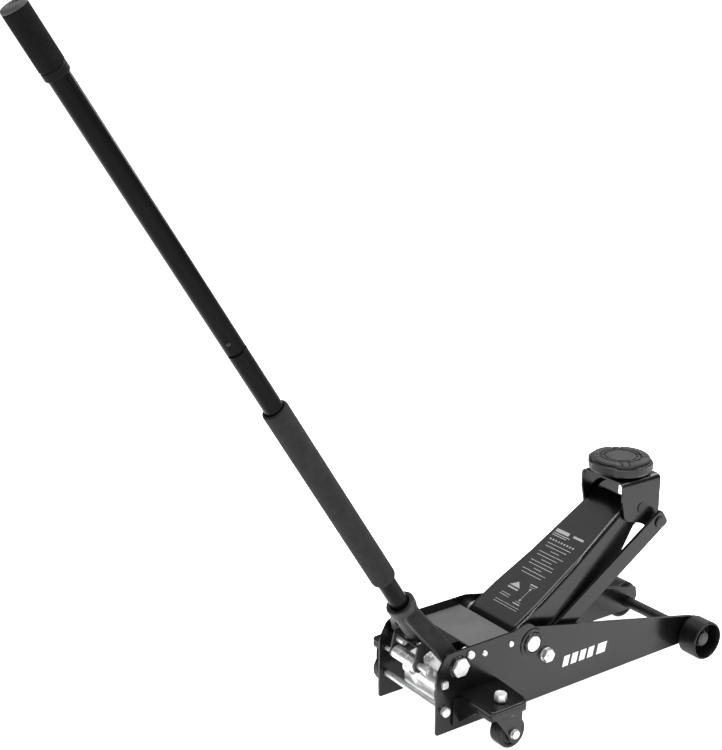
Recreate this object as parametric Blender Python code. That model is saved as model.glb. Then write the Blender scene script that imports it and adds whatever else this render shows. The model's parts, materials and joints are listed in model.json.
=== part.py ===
"""Hydraulic floor jack: a wheeled frame, a parallel lift arm with a level saddle, and a pump handle.

Lengths below are millimetres in the layout frame: X runs forward along the frame from the front
axle, Y to the left, Z up from the floor. place() turns them into metres about the final origin,
which is the middle of the bounding box at floor level.
"""

from math import acos, atan2, cos, degrees, pi, radians, sin, sqrt, tan

import bpy
from mathutils import Matrix, Vector
from mathutils.geometry import tessellate_polygon

MM = 0.001
ORIGIN_SHIFT = 609.61
GAP = 0.3
RUNNING = 0.15

# Frame plates
PLATE_IN = 79.4
PLATE_OUT = 83.4
PLATE_REAR = -613.0
PLATE_BOTTOM = 20.0
PLATE_TOP = 165.0
BOSS_RADIUS = 31.0
BULGE_RADIUS = 38.0

# Front axle and wheels
AXLE_Z = 37.0
AXLE_RADIUS = 11.0
WHEEL_RADIUS = 37.0
WHEEL_INNER_Y = 90.0
WHEEL_OUTER_Y = 131.0

# Lift linkage: arm and links are the long sides of a parallelogram
ARM_PIVOT = (-402.5, 132.0)
ARM_TIP = (-118.0, 310.0)
LINK_OFFSET = (32.0, -30.5)
LINK_BASE = (ARM_PIVOT[0] + LINK_OFFSET[0], ARM_PIVOT[1] + LINK_OFFSET[1])
LINK_TIP = (ARM_TIP[0] + LINK_OFFSET[0], ARM_TIP[1] + LINK_OFFSET[1])
PIVOT_RADIUS = 12.0
TIP_RADIUS = 8.0
LINK_PIN_RADIUS = 8.0
LINK_IN = 64.0
LINK_OUT = 70.0
LINK_HALF_WIDTH = 16.5
ARM_BASE_HALF = 62.5
ARM_TIP_HALF = 47.2
ARM_TOP = 25.0
ARM_SHEET = 5.0
BARREL_RADIUS = 33.0
LEVER_LENGTH = 48.0
LEVER_ANGLE = -74.4
LEVER_RADIUS = 9.0

# Saddle and its bracket
SADDLE_X = -123.0
SADDLE_TOP = 397.0
PAD_RADIUS = 54.0
CUP_RADIUS = 60.5
BRACKET_IN = 49.8
BRACKET_OUT = 53.8
BRACKET_REAR = -168.0
BRACKET_FRONT = -72.0
BRACKET_TOP = 366.0
STEM_RADIUS = 12.0

# Pump end
SOCKET_PIVOT = (-566.0, 136.0)
SOCKET_BOLT_RADIUS = 10.0
ROLLER_CENTRE = (-613.0, 131.0)
ROLLER_RADIUS = 12.0
ROLLER_HALF = 30.0
BALL_RADIUS = 7.0
CYLINDER_Z = 87.5
CYLINDER_RADIUS = 35.0
CYLINDER_REAR = -528.0
CYLINDER_FRONT = -452.0

# Handle, by distance along its axis from the socket pivot
HANDLE_LEAN = 31.8
TUBE_RADIUS = 16.0
TUBE_START = 34.0
COLLAR_TOP = 121.0
SLEEVE_START = 182.0
SLEEVE_END = 575.0
JOINT_RING = 695.0
BUTTON_AT = 719.0
GRIP_START = 1160.0
GRIP_END = 1281.0
GRIP_RADIUS = 19.3
SLEEVE_RADIUS = 21.8

# Casters
SWIVEL = (-526.0, 145.0)
CASTER_RADIUS = 28.5
CASTER_WIDTH = 27.3
CASTER_TRAIL = 17.0
SHELF_TOP = 87.5
SHELF_SHEET = 4.0

MATERIALS = {
    "gloss_black": ((0.012, 0.012, 0.013), 0.2, 0.22),
    "satin_black": ((0.016, 0.016, 0.017), 0.1, 0.42),
    "cast_grey": ((0.045, 0.045, 0.047), 0.5, 0.5),
    "cover_grey": ((0.09, 0.09, 0.095), 0.2, 0.4),
    "zinc": ((0.68, 0.69, 0.70), 1.0, 0.26),
    "rubber": ((0.022, 0.022, 0.023), 0.0, 0.75),
    "foam": ((0.025, 0.025, 0.027), 0.0, 0.9),
    "grip_black": ((0.018, 0.018, 0.019), 0.0, 0.55),
    "wheel_black": ((0.02, 0.02, 0.021), 0.0, 0.45),
    "caster_black": ((0.024, 0.024, 0.026), 0.0, 0.5),
}


def clear_scene():
    for obj in list(bpy.data.objects):
        bpy.data.objects.remove(obj, do_unlink=True)


def material(key):
    found = bpy.data.materials.get(key)
    if found:
        return found
    colour, metallic, roughness = MATERIALS[key]
    made = bpy.data.materials.new(key)
    made.use_nodes = True
    shader = made.node_tree.nodes["Principled BSDF"]
    shader.inputs["Base Color"].default_value = (*colour, 1.0)
    shader.inputs["Metallic"].default_value = metallic
    shader.inputs["Roughness"].default_value = roughness
    made.diffuse_color = (*colour, 1.0)
    return made


def place(point):
    return Vector(((point[0] + ORIGIN_SHIFT) * MM, point[1] * MM, point[2] * MM))


def volume_of(points, faces):
    total = 0.0
    for face in faces:
        for k in range(1, len(face) - 1):
            a, b, c = points[face[0]], points[face[k]], points[face[k + 1]]
            total += a.dot(b.cross(c))
    return total


def make(name, solid, key, pivot=(0.0, 0.0, 0.0), bevel=0.0, angle=32.0, helper=False):
    """One object from (points, faces) in layout millimetres, with its origin at the pivot."""
    points, faces = solid
    centre = place(pivot)
    placed = [place(p) - centre for p in points]
    if volume_of(placed, faces) < 0:
        faces = [tuple(reversed(face)) for face in faces]
    mesh = bpy.data.meshes.new(name)
    mesh.from_pydata(placed, [], faces)
    mesh.update()
    mesh.validate()
    obj = bpy.data.objects.new(name, mesh)
    obj.location = centre
    bpy.context.scene.collection.objects.link(obj)
    if helper:
        obj.hide_render = True
        obj.display_type = "WIRE"
        return obj
    mesh.materials.append(material(key))
    mesh.shade_smooth()
    mesh.set_sharp_from_angle(angle=radians(angle))
    if bevel:
        rounding = obj.modifiers.new("edge_rounding", "BEVEL")
        rounding.width = bevel * MM
        rounding.segments = 1
        rounding.limit_method = "ANGLE"
        rounding.angle_limit = radians(40)
    return obj


def combine(obj, solid, operation):
    """Adds to or cuts from an object with a hidden helper solid."""
    helper = make(f"{obj.name}_{operation.lower()}_{len(obj.modifiers)}", solid, None, helper=True)
    step = obj.modifiers.new(operation.lower(), "BOOLEAN")
    step.operation = operation
    step.object = helper
    step.solver = "EXACT"


def basis(axis):
    """Two unit vectors square to an axis, so that (u, v, axis) is right-handed."""
    w = Vector(axis).normalized()
    side = Vector((0, 1, 0)) if abs(w.y) < 0.9 else Vector((1, 0, 0))
    u = side.cross(w).normalized()
    return u, w.cross(u), w


def rings_solid(rings, closed=False):
    """Skins equal-sized rings of points. A closed run joins its last ring to its first."""
    count = len(rings[0])
    points = [Vector(p) for ring in rings for p in ring]
    faces = []
    spans = len(rings) if closed else len(rings) - 1
    for i in range(spans):
        a = i * count
        b = ((i + 1) % len(rings)) * count
        for k in range(count):
            m = (k + 1) % count
            faces.append((a + k, a + m, b + m, b + k))
    if not closed:
        faces.append(tuple(reversed(range(count))))
        faces.append(tuple(range(len(points) - count, len(points))))
    return points, faces


def circle(radius, steps, phase=0.0):
    return [
        (radius * cos(2 * pi * k / steps + phase), radius * sin(2 * pi * k / steps + phase))
        for k in range(steps)
    ]


def polygon_ring(across, sides, steps, phase=0.0):
    """A regular polygon sampled at equal angles, given by its distance across flats."""
    ring = []
    sector = 2 * pi / sides
    for k in range(steps):
        turn = 2 * pi * k / steps
        local = (turn + sector / 2) % sector - sector / 2
        radius = (across / 2) / cos(local)
        ring.append((radius * cos(turn + phase), radius * sin(turn + phase)))
    return ring


def stack(centre, axis, levels):
    """A solid along an axis from (ring, distance) levels."""
    u, v, w = basis(axis)
    base = Vector(centre)
    return rings_solid([[base + u * x + v * y + w * h for x, y in ring] for ring, h in levels])


def lathe(centre, axis, profile, steps=16, closed=False):
    """Turns (radius, distance) points about an axis. Closed profiles make rings and tubes."""
    u, v, w = basis(axis)
    base = Vector(centre)
    rings = []
    for radius, h in profile:
        rings.append([base + u * x + v * y + w * h for x, y in circle(radius, steps)])
    return rings_solid(rings, closed)


def tube(centre, axis, inner, outer, start, end, steps=16, chamfer=0.6):
    profile = [
        (inner, start + chamfer),
        (inner + chamfer, start),
        (outer - chamfer, start),
        (outer, start + chamfer),
        (outer, end - chamfer),
        (outer - chamfer, end),
        (inner + chamfer, end),
        (inner, end - chamfer),
    ]
    return lathe(centre, axis, profile, steps, closed=True)


def rod(centre, axis, radius, start, end, steps=16, chamfer=0.6):
    profile = [(radius - chamfer, start), (radius, start + chamfer)]
    profile += [(radius, end - chamfer), (radius - chamfer, end)]
    return lathe(centre, axis, profile, steps)


def rounded(corners, arc_steps=3):
    """An outline from (x, y, corner radius) points."""
    outline = []
    count = len(corners)
    for i, (x, y, radius) in enumerate(corners):
        here = Vector((x, y))
        if radius <= 0:
            outline.append((x, y))
            continue
        back = (Vector(corners[i - 1][:2]) - here).normalized()
        ahead = (Vector(corners[(i + 1) % count][:2]) - here).normalized()
        half = acos(max(-1.0, min(1.0, back.dot(ahead)))) / 2
        reach = radius / tan(half)
        centre = here + (back + ahead).normalized() * (radius / sin(half))
        start = here + back * reach - centre
        end = here + ahead * reach - centre
        first = atan2(start.y, start.x)
        sweep = (atan2(end.y, end.x) - first + pi) % (2 * pi) - pi
        for k in range(arc_steps + 1):
            turn = first + sweep * k / arc_steps
            outline.append((centre.x + radius * cos(turn), centre.y + radius * sin(turn)))
    return outline


def area_of(loop):
    return sum(a[0] * b[1] - b[0] * a[1] for a, b in zip(loop, loop[1:] + loop[:1])) / 2


def plate(outline, low, high, plane="XZ", holes=()):
    """A flat plate from an outline with holes, between two levels square to its plane."""
    to_space = {
        "XZ": lambda p, h: Vector((p[0], h, p[1])),
        "XY": lambda p, h: Vector((p[0], p[1], h)),
        "YZ": lambda p, h: Vector((h, p[0], p[1])),
    }[plane]
    loops = [list(outline)] + [list(hole) for hole in holes]
    for i, loop in enumerate(loops):
        if (area_of(loop) > 0) != (i == 0):
            loop.reverse()
    flat = [point for loop in loops for point in loop]
    count = len(flat)
    points = [to_space(p, low) for p in flat] + [to_space(p, high) for p in flat]
    faces = []
    for a, b, c in tessellate_polygon([[Vector((*p, 0)) for p in loop] for loop in loops]):
        if area_of([flat[a], flat[b], flat[c]]) < 0:
            a, c = c, a
        faces.append((a, c, b))
        faces.append((a + count, b + count, c + count))
    start = 0
    for loop in loops:
        for k in range(len(loop)):
            a = start + k
            b = start + (k + 1) % len(loop)
            faces.append((a, b, b + count, a + count))
        start += len(loop)
    return points, faces


def disc_hole(x, z, radius, steps=24):
    return [(x + a, z + b) for a, b in circle(radius, steps)]


def hex_bolt(centre, axis, shank, length, across, head, washer=0.0, sides=6, recess=0.0):
    """A bolt along an axis: its shank ends at 0 and its washer and head stand beyond it."""
    steps = 2 * sides
    levels = [
        (circle(shank - 0.6, steps), -length),
        (circle(shank, steps), -length + 0.6),
        (circle(shank, steps), GAP),
    ]
    base = GAP
    if washer:
        levels += [
            (circle(washer, steps), base),
            (circle(washer, steps), base + 1.8),
        ]
        base += 1.8
    crown = across / 2 * 0.94
    levels += [
        (polygon_ring(across, sides, steps), base),
        (polygon_ring(across, sides, steps), base + head - 1.2),
        (circle(crown, steps), base + head),
    ]
    if recess:
        levels += [
            (circle(crown - 1.6, steps), base + head),
            (circle(crown - 2.2, steps), base + head - recess),
        ]
    return stack(centre, axis, levels)


def dome_bolt(centre, axis, shank, length, radius, height):
    """A round-headed screw along an axis."""
    profile = [(shank - 0.5, -length), (shank, -length + 0.5), (shank, GAP), (radius, GAP)]
    for share, rise in ((0.97, 0.3), (0.83, 0.68), (0.55, 0.92), (0.2, 1.0)):
        profile.append((radius * share, GAP + height * rise))
    return lathe(centre, axis, profile, 8)


def xz(point, y=0.0):
    return (point[0], y, point[1])


clear_scene()

# ---------------------------------------------------------------------------------------------
# Frame
# ---------------------------------------------------------------------------------------------

def bulge_corners():
    """The top edge where it swells round the arm pivot, from the slope back to the level top."""
    corners = []
    for k, turn in enumerate((36.5, 53.0, 70.0, 87.0, 103.0, 119.7)):
        spot = radians(turn)
        corners.append((
            ARM_PIVOT[0] + BULGE_RADIUS * cos(spot),
            ARM_PIVOT[1] + BULGE_RADIUS * sin(spot),
            6.0 if k in (0, 5) else 0.0,
        ))
    return corners


PLATE_OUTLINE = rounded([
    (PLATE_REAR, PLATE_BOTTOM, 3.0),
    (8.0, PLATE_BOTTOM, 22.0),
    (26.0, 42.0, 14.0),
    (22.0, 65.0, 7.0),
    *bulge_corners(),
    (-594.0, PLATE_TOP, 16.0),
    (PLATE_REAR, 131.0, 30.0),
])
TIE_ROD = (-597.0, 63.0)
SQUARE_STUD = (-598.0, 112.0)
STOP_SCREW = (-542.0, 151.0)
COVER_SCREWS = ((-511.0, 144.5), (-452.0, 144.5))
SEAT = 2.2
LIP_SLOPE = (65.0 - 160.5) / (22.0 + 398.0)


def frame_plate(side, name):
    holes = [
        disc_hole(*spot, radius + RUNNING, steps)
        for spot, radius, steps in (
            (ARM_PIVOT, PIVOT_RADIUS, 16),
            (LINK_BASE, LINK_PIN_RADIUS, 24),
            (SOCKET_PIVOT, SOCKET_BOLT_RADIUS, 24),
            ((0.0, AXLE_Z), AXLE_RADIUS, 16),
            (TIE_ROD, 6.0, 12),
        )
    ]
    holes += [disc_hole(*spot, 3.0 + RUNNING, 12) for spot in COVER_SCREWS]
    holes += [disc_hole(*STOP_SCREW, 5.0 + RUNNING, 12), disc_hole(*SQUARE_STUD, 4.0 + RUNNING, 8)]
    low, high = sorted((side * PLATE_IN, side * PLATE_OUT))
    obj = make(name, plate(PLATE_OUTLINE, low, high, "XZ", holes), "gloss_black")
    boss = [
        (16.4, -2.0), (16.4, 4.6), (22.0, 4.6), (24.5, 2.6), (BOSS_RADIUS - 1.5, 2.0),
        (BOSS_RADIUS, 0.8), (BOSS_RADIUS, -2.0),
    ]
    combine(obj, lathe(xz(ARM_PIVOT, side * PLATE_OUT), (0, side, 0), boss, 24, True), "UNION")
    seat = [(12.0, -2.0), (12.0, SEAT), (18.4, SEAT), (20.0, 0.8), (20.0, -2.0)]
    combine(obj, lathe(xz(SOCKET_PIVOT, side * PLATE_OUT), (0, side, 0), seat, 16, True), "UNION")
    lip = [
        (-330.0, 160.5 + LIP_SLOPE * 68.0 - 4.4), (-330.0, 160.5 + LIP_SLOPE * 68.0 - 0.4),
        (10.0, 160.5 + LIP_SLOPE * 408.0 - 0.4), (10.0, 160.5 + LIP_SLOPE * 408.0 - 4.4),
    ]
    low, high = sorted((side * (PLATE_IN - 5.0), side * (PLATE_IN + 1.0)))
    combine(obj, plate(lip, low, high), "UNION")
    return obj


frame_plate(1, "side_plate_left")
frame_plate(-1, "side_plate_right")

make("rear_tie_rod", lathe(xz(TIE_ROD), (0, 1, 0), [
    (6.0, -PLATE_OUT - 9.4), (8.4, -PLATE_OUT - 8.0), (8.4, -PLATE_OUT - GAP),
    (6.0, -PLATE_OUT - GAP), (6.0, PLATE_OUT + GAP), (8.4, PLATE_OUT + GAP),
    (8.4, PLATE_OUT + 8.0), (6.0, PLATE_OUT + 9.4),
], 12), "zinc")

COVER = [(-523.0, -79.1), (-434.0, -79.1), (-434.0, 79.1), (-523.0, 79.1)]
make("cover_plate", plate(COVER, 148.0, 151.0, "XY"), "cover_grey", bevel=0.6)
for side, word in ((1, "left"), (-1, "right")):
    for spot, end in zip(COVER_SCREWS, ("rear", "front")):
        make(f"cover_screw_{end}_{word}", dome_bolt(
            xz(spot, side * PLATE_OUT), (0, side, 0), 3.0, 11.0, 5.6, 3.2), "zinc")
    make(f"stop_screw_{word}", lathe(xz(STOP_SCREW, side * PLATE_OUT), (0, side, 0), [
        (6.6, -18.0), (7.6, -17.0), (7.6, -4.0 - GAP), (5.0, -4.0 - GAP), (5.0, GAP),
        (7.8, GAP), (7.8, 2.0), (6.6, 4.2), (2.0, 5.4),
    ], 12), "zinc")
    make(f"square_stud_{word}", hex_bolt(
        xz(SQUARE_STUD, side * PLATE_OUT), (0, side, 0), 4.0, 12.0, 11.5, 6.0, 0.0, 4), "zinc")

# ---------------------------------------------------------------------------------------------
# Front axle and wheels
# ---------------------------------------------------------------------------------------------

AXLE_END = WHEEL_OUTER_Y - 11.5
make("front_axle", lathe((0, 0, AXLE_Z), (0, 1, 0), [
    (9.4, -AXLE_END), (AXLE_RADIUS, -AXLE_END + 1.6), (AXLE_RADIUS, -PLATE_OUT - 5.4),
    (15.5, -PLATE_OUT - 5.4), (15.5, -PLATE_OUT - GAP), (AXLE_RADIUS, -PLATE_OUT - GAP),
    (AXLE_RADIUS, PLATE_OUT + GAP), (15.5, PLATE_OUT + GAP), (15.5, PLATE_OUT + 5.4),
    (AXLE_RADIUS, PLATE_OUT + 5.4), (AXLE_RADIUS, AXLE_END - 1.6), (9.4, AXLE_END),
], 16), "satin_black")

WHEEL_PROFILE = [
    (AXLE_RADIUS + RUNNING, 0.0), (20.0, 0.0), (21.0, 2.2), (29.5, 2.2), (30.5, 0.6),
    (35.0, 0.6), (WHEEL_RADIUS, 2.6), (WHEEL_RADIUS, 38.6), (35.6, 41.0), (33.4, 41.0),
    (30.6, 16.0), (17.0, 14.5), (15.6, 26.0), (AXLE_RADIUS + RUNNING, 26.0),
]
for side, word in ((1, "left"), (-1, "right")):
    centre = (0, side * WHEEL_INNER_Y, AXLE_Z)
    make(f"front_wheel_{word}", lathe(
        centre, (0, side, 0), WHEEL_PROFILE, 24, True), "wheel_black", centre)
    make(f"wheel_cap_{word}", lathe((0, side * AXLE_END, AXLE_Z), (0, side, 0), [
        (13.4, GAP), (13.4, 1.1), (10.6, 2.6), (6.0, 3.2), (1.5, 3.4),
    ], 16), "satin_black")

# ---------------------------------------------------------------------------------------------
# Lift arm
# ---------------------------------------------------------------------------------------------

ARM_SPAN = Vector((ARM_TIP[0] - ARM_PIVOT[0], 0.0, ARM_TIP[1] - ARM_PIVOT[1]))
ARM_LENGTH = ARM_SPAN.length
ALONG = ARM_SPAN.normalized()
UPWARD = Vector((-ALONG.z, 0.0, ALONG.x))
LEVER = (
    ARM_PIVOT[0] + LEVER_LENGTH * cos(radians(LEVER_ANGLE)),
    ARM_PIVOT[1] + LEVER_LENGTH * sin(radians(LEVER_ANGLE)),
)


def arm_point(s, y, n):
    return Vector(xz(ARM_PIVOT, y)) + ALONG * s + UPWARD * n


def blend_between(value, table):
    for (a, p), (b, q) in zip(table, table[1:]):
        if value <= b:
            return p + (q - p) * max(0.0, (value - a) / (b - a))
    return table[-1][1]


def arm_half(s):
    return blend_between(s, ((60.0, ARM_BASE_HALF), (300.0, ARM_TIP_HALF)))


def arm_top(s):
    if s < 0:
        return sqrt(max(0.0, BARREL_RADIUS**2 - s * s))
    if s > ARM_LENGTH:
        return sqrt(max(0.0, ARM_TOP**2 - (s - ARM_LENGTH) ** 2))
    return blend_between(s, ((0.0, BARREL_RADIUS), (150.0, ARM_TOP)))


def arm_low(s):
    ear = -sqrt(max(0.0, 576.0 - (s - ARM_LENGTH) ** 2))
    table = (
        (-32.5, -8.0), (-31.5, -26.0), (-30.0, -44.0), (-26.0, -55.0), (-20.0, -60.0),
        (-12.0, -61.0), (185.0, -60.0), (215.0, -56.0), (249.0, -46.5), (308.0, -23.0),
        (ARM_LENGTH, -24.0),
    )
    return ear if s > ARM_LENGTH else blend_between(s, table)


def arm_section(s, half, top, low, bend):
    """An upright section through the arm, with its two upper bends rounded."""
    bend = min(bend, (top - low) / 3)
    ring = [(-half, low)]
    for k in range(4):
        turn = pi - k * pi / 6
        ring.append((-half + bend + bend * cos(turn), top - bend + bend * sin(turn)))
    for k in range(4):
        turn = pi / 2 - k * pi / 6
        ring.append((half - bend + bend * cos(turn), top - bend + bend * sin(turn)))
    ring.append((half, low))
    return [arm_point(s, y, n) for y, n in ring]


ARM_STATIONS = (
    -32.5, -31.5, -30.0, -26.0, -20.0, -12.0, -6.0, 0.0, 30.0, 60.0, 100.0, 150.0, 185.0, 215.0, 249.0, 280.0, 300.0, 308.0, 322.0, ARM_LENGTH,
    ARM_LENGTH + 8, ARM_LENGTH + 15, ARM_LENGTH + 20, ARM_LENGTH + 23.4,
)
arm = make("lift_arm", rings_solid([
    arm_section(s, arm_half(s), arm_top(s), arm_low(s), 9.0) for s in ARM_STATIONS
]), "gloss_black", xz(ARM_PIVOT))
combine(arm, rings_solid([
    arm_section(s, arm_half(s) - ARM_SHEET, top, -90.0, 5.0)
    for s, top in (
        (-27.0, 4.0), (-24.0, 14.0), (-16.0, 22.8), (-6.0, 27.2), (0.0, 28.0), (60.0, 24.8),
        (150.0, 20.0), (300.0, 20.0), (325.0, 20.0), (325.5, 60.0), (390.0, 60.0),
    )
]), "DIFFERENCE")
combine(arm, plate([
    (-460.0, 40.0), (-386.0, 40.0), (-386.0, 100.0), (-412.0, 121.0), (-460.0, 121.0),
], -ARM_BASE_HALF + ARM_SHEET, ARM_BASE_HALF - ARM_SHEET), "DIFFERENCE")
for spot, radius, steps in (
    (ARM_PIVOT, PIVOT_RADIUS, 24), (LEVER, LEVER_RADIUS, 16), (ARM_TIP, TIP_RADIUS, 24),
):
    combine(arm, rod(xz(spot), (0, 1, 0), radius + RUNNING, -90, 90, steps, 0.1), "DIFFERENCE")

make("arm_pivot_shaft", lathe(xz(ARM_PIVOT), (0, 1, 0), [
    (12.6, -PLATE_OUT - 6.0), (14.5, -PLATE_OUT - 4.6), (14.5, -PLATE_OUT - GAP),
    (PIVOT_RADIUS, -PLATE_OUT - GAP), (PIVOT_RADIUS, -PLATE_IN + GAP), (17.0, -PLATE_IN + GAP),
    (17.0, -ARM_BASE_HALF - GAP), (PIVOT_RADIUS, -ARM_BASE_HALF - GAP),
    (PIVOT_RADIUS, ARM_BASE_HALF + GAP), (17.0, ARM_BASE_HALF + GAP), (17.0, PLATE_IN - GAP),
    (PIVOT_RADIUS, PLATE_IN - GAP), (PIVOT_RADIUS, PLATE_OUT + GAP), (14.5, PLATE_OUT + GAP),
    (14.5, PLATE_OUT + 4.6), (12.6, PLATE_OUT + 6.0),
], 16), "zinc")
make("lever_pin", lathe(xz(LEVER), (0, 1, 0), [
    (8.0, -63.3), (LEVER_RADIUS, -62.3), (LEVER_RADIUS, 62.3), (8.0, 63.3),
], 16), "zinc", xz(ARM_PIVOT))

# ---------------------------------------------------------------------------------------------
# Saddle bracket, saddle and radius links
# ---------------------------------------------------------------------------------------------


def bracket_section(half, top, bottom, bend):
    ring = [(-half, bottom)]
    for k in range(4):
        turn = pi - k * pi / 6
        ring.append((-half + bend + bend * cos(turn), top - bend + bend * sin(turn)))
    for k in range(4):
        turn = pi / 2 - k * pi / 6
        ring.append((half - bend + bend * cos(turn), top - bend + bend * sin(turn)))
    ring.append((half, bottom))
    return ring


outer = bracket_section(BRACKET_OUT, BRACKET_TOP, 250.0, 9.0)
inner = bracket_section(BRACKET_IN, BRACKET_TOP - 4.0, 250.0, 5.0)
bracket = make("saddle_bracket", plate(
    outer + inner[::-1], BRACKET_REAR, BRACKET_FRONT, "YZ"), "gloss_black", xz(ARM_TIP))
CHEEK = rounded([
    (BRACKET_REAR - 20.0, 400.0, 0), (BRACKET_FRONT + 20.0, 400.0, 0),
    (BRACKET_FRONT + 20.0, 340.0, 0), (BRACKET_FRONT - 0.4, 336.0, 0),
    (BRACKET_FRONT - 0.4, 261.0, 13.0), (-92.0, 263.0, 14.0), (-116.0, 278.5, 8.0),
    (-152.0, 290.0, 12.0), (BRACKET_REAR + 7.0, 298.0, 8.0), (BRACKET_REAR + 0.4, 330.0, 0),
    (BRACKET_REAR - 20.0, 336.0, 0),
])
combine(bracket, plate(CHEEK, -70.0, 70.0), "INTERSECT")
combine(bracket, rod((SADDLE_X, 0, 0), (0, 0, 1), STEM_RADIUS + RUNNING, 340, 380, 32), "DIFFERENCE")
for spot, radius in ((ARM_TIP, TIP_RADIUS), (LINK_TIP, LINK_PIN_RADIUS)):
    combine(bracket, rod(xz(spot), (0, 1, 0), radius + RUNNING, -70, 70, 16, 0.1), "DIFFERENCE")

make("arm_tip_pin", lathe(xz(ARM_TIP), (0, 1, 0), [
    (9.2, -BRACKET_OUT - 1.5), (9.8, -BRACKET_OUT - 1.0), (9.8, -BRACKET_OUT - GAP),
    (TIP_RADIUS, -BRACKET_OUT - GAP), (TIP_RADIUS, BRACKET_OUT + GAP),
    (9.8, BRACKET_OUT + GAP), (9.8, BRACKET_OUT + 1.0), (9.2, BRACKET_OUT + 1.5),
], 16), "satin_black", xz(ARM_TIP))

CUP_FLOOR = 370.0
LUG_TOP = 391.5
RIM_TOP = 385.5
LUG_COUNT = 4
LUG_HALF = radians(27.0)


def turned(centre, profile_at, steps):
    """Turns an open profile that changes with the angle about +Z."""
    loops = [profile_at(2 * pi * k / steps) for k in range(steps)]
    rings = []
    for i in range(len(loops[0])):
        ring = []
        for k, loop in enumerate(loops):
            turn = 2 * pi * k / steps
            r, z = loop[i]
            ring.append((centre[0] + r * cos(turn), centre[1] + r * sin(turn), z))
        rings.append(ring)
    return rings_solid(rings)


def lug_share(turn):
    sector = 2 * pi / LUG_COUNT
    offset = abs((turn + sector / 2) % sector - sector / 2)
    return max(0.0, min(1.0, (LUG_HALF - offset) / radians(5.0) + 0.5))


def cup_profile(turn):
    """The saddle cup: a stem riveted over below the bracket, a floor and a notched rim."""
    share = lug_share(turn - radians(10.0))
    top = RIM_TOP + (LUG_TOP - RIM_TOP) * share
    outer_r = CUP_RADIUS - 1.6 * (1 - share)
    under = BRACKET_TOP - 4.0 - GAP
    return [
        (8.4, under - 14.0), (9.6, under - 12.8), (9.6, under - 5.0), (17.0, under - 4.4),
        (17.0, under), (STEM_RADIUS, under), (STEM_RADIUS, BRACKET_TOP + GAP),
        (22.0, BRACKET_TOP + GAP), (22.0, CUP_FLOOR), (50.0, CUP_FLOOR),
        (57.0, CUP_FLOOR + 2.4), (outer_r, CUP_FLOOR + 8.0), (outer_r, top - 1.6),
        (outer_r - 1.8, top), (55.6, top), (PAD_RADIUS + 0.4, top - 1.4),
        (PAD_RADIUS + 0.4, CUP_FLOOR + 6.0),
    ]


def pad_profile(turn):
    share = lug_share(turn - radians(10.0))
    rim = SADDLE_TOP - 4.0 * (1 - share)
    edge = PAD_RADIUS - 0.2 * (1 - share)
    return [
        (edge - 1.0, CUP_FLOOR + 6.3), (edge, CUP_FLOOR + 8.0), (edge, rim - 1.8),
        (edge - 1.8, rim), (36.0, rim), (34.0, SADDLE_TOP - 4.2), (31.0, SADDLE_TOP - 4.2),
        (29.5, SADDLE_TOP - 1.0), (15.0, SADDLE_TOP - 1.0), (13.5, SADDLE_TOP - 3.4),
    ]


SADDLE_CENTRE = (SADDLE_X, 0.0, CUP_FLOOR)
make("saddle_cup", turned(SADDLE_CENTRE, cup_profile, 32), "satin_black", SADDLE_CENTRE)
make("saddle_pad", turned(SADDLE_CENTRE, pad_profile, 32), "rubber", SADDLE_CENTRE)

LINK_LINE = Vector((LINK_TIP[0] - LINK_BASE[0], LINK_TIP[1] - LINK_BASE[1])).normalized()
LINK_SIDE = Vector((-LINK_LINE.y, LINK_LINE.x))


def link_corner(end, along, across, radius):
    spot = Vector(end) + LINK_LINE * along + LINK_SIDE * across
    return (spot.x, spot.y, radius)


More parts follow.
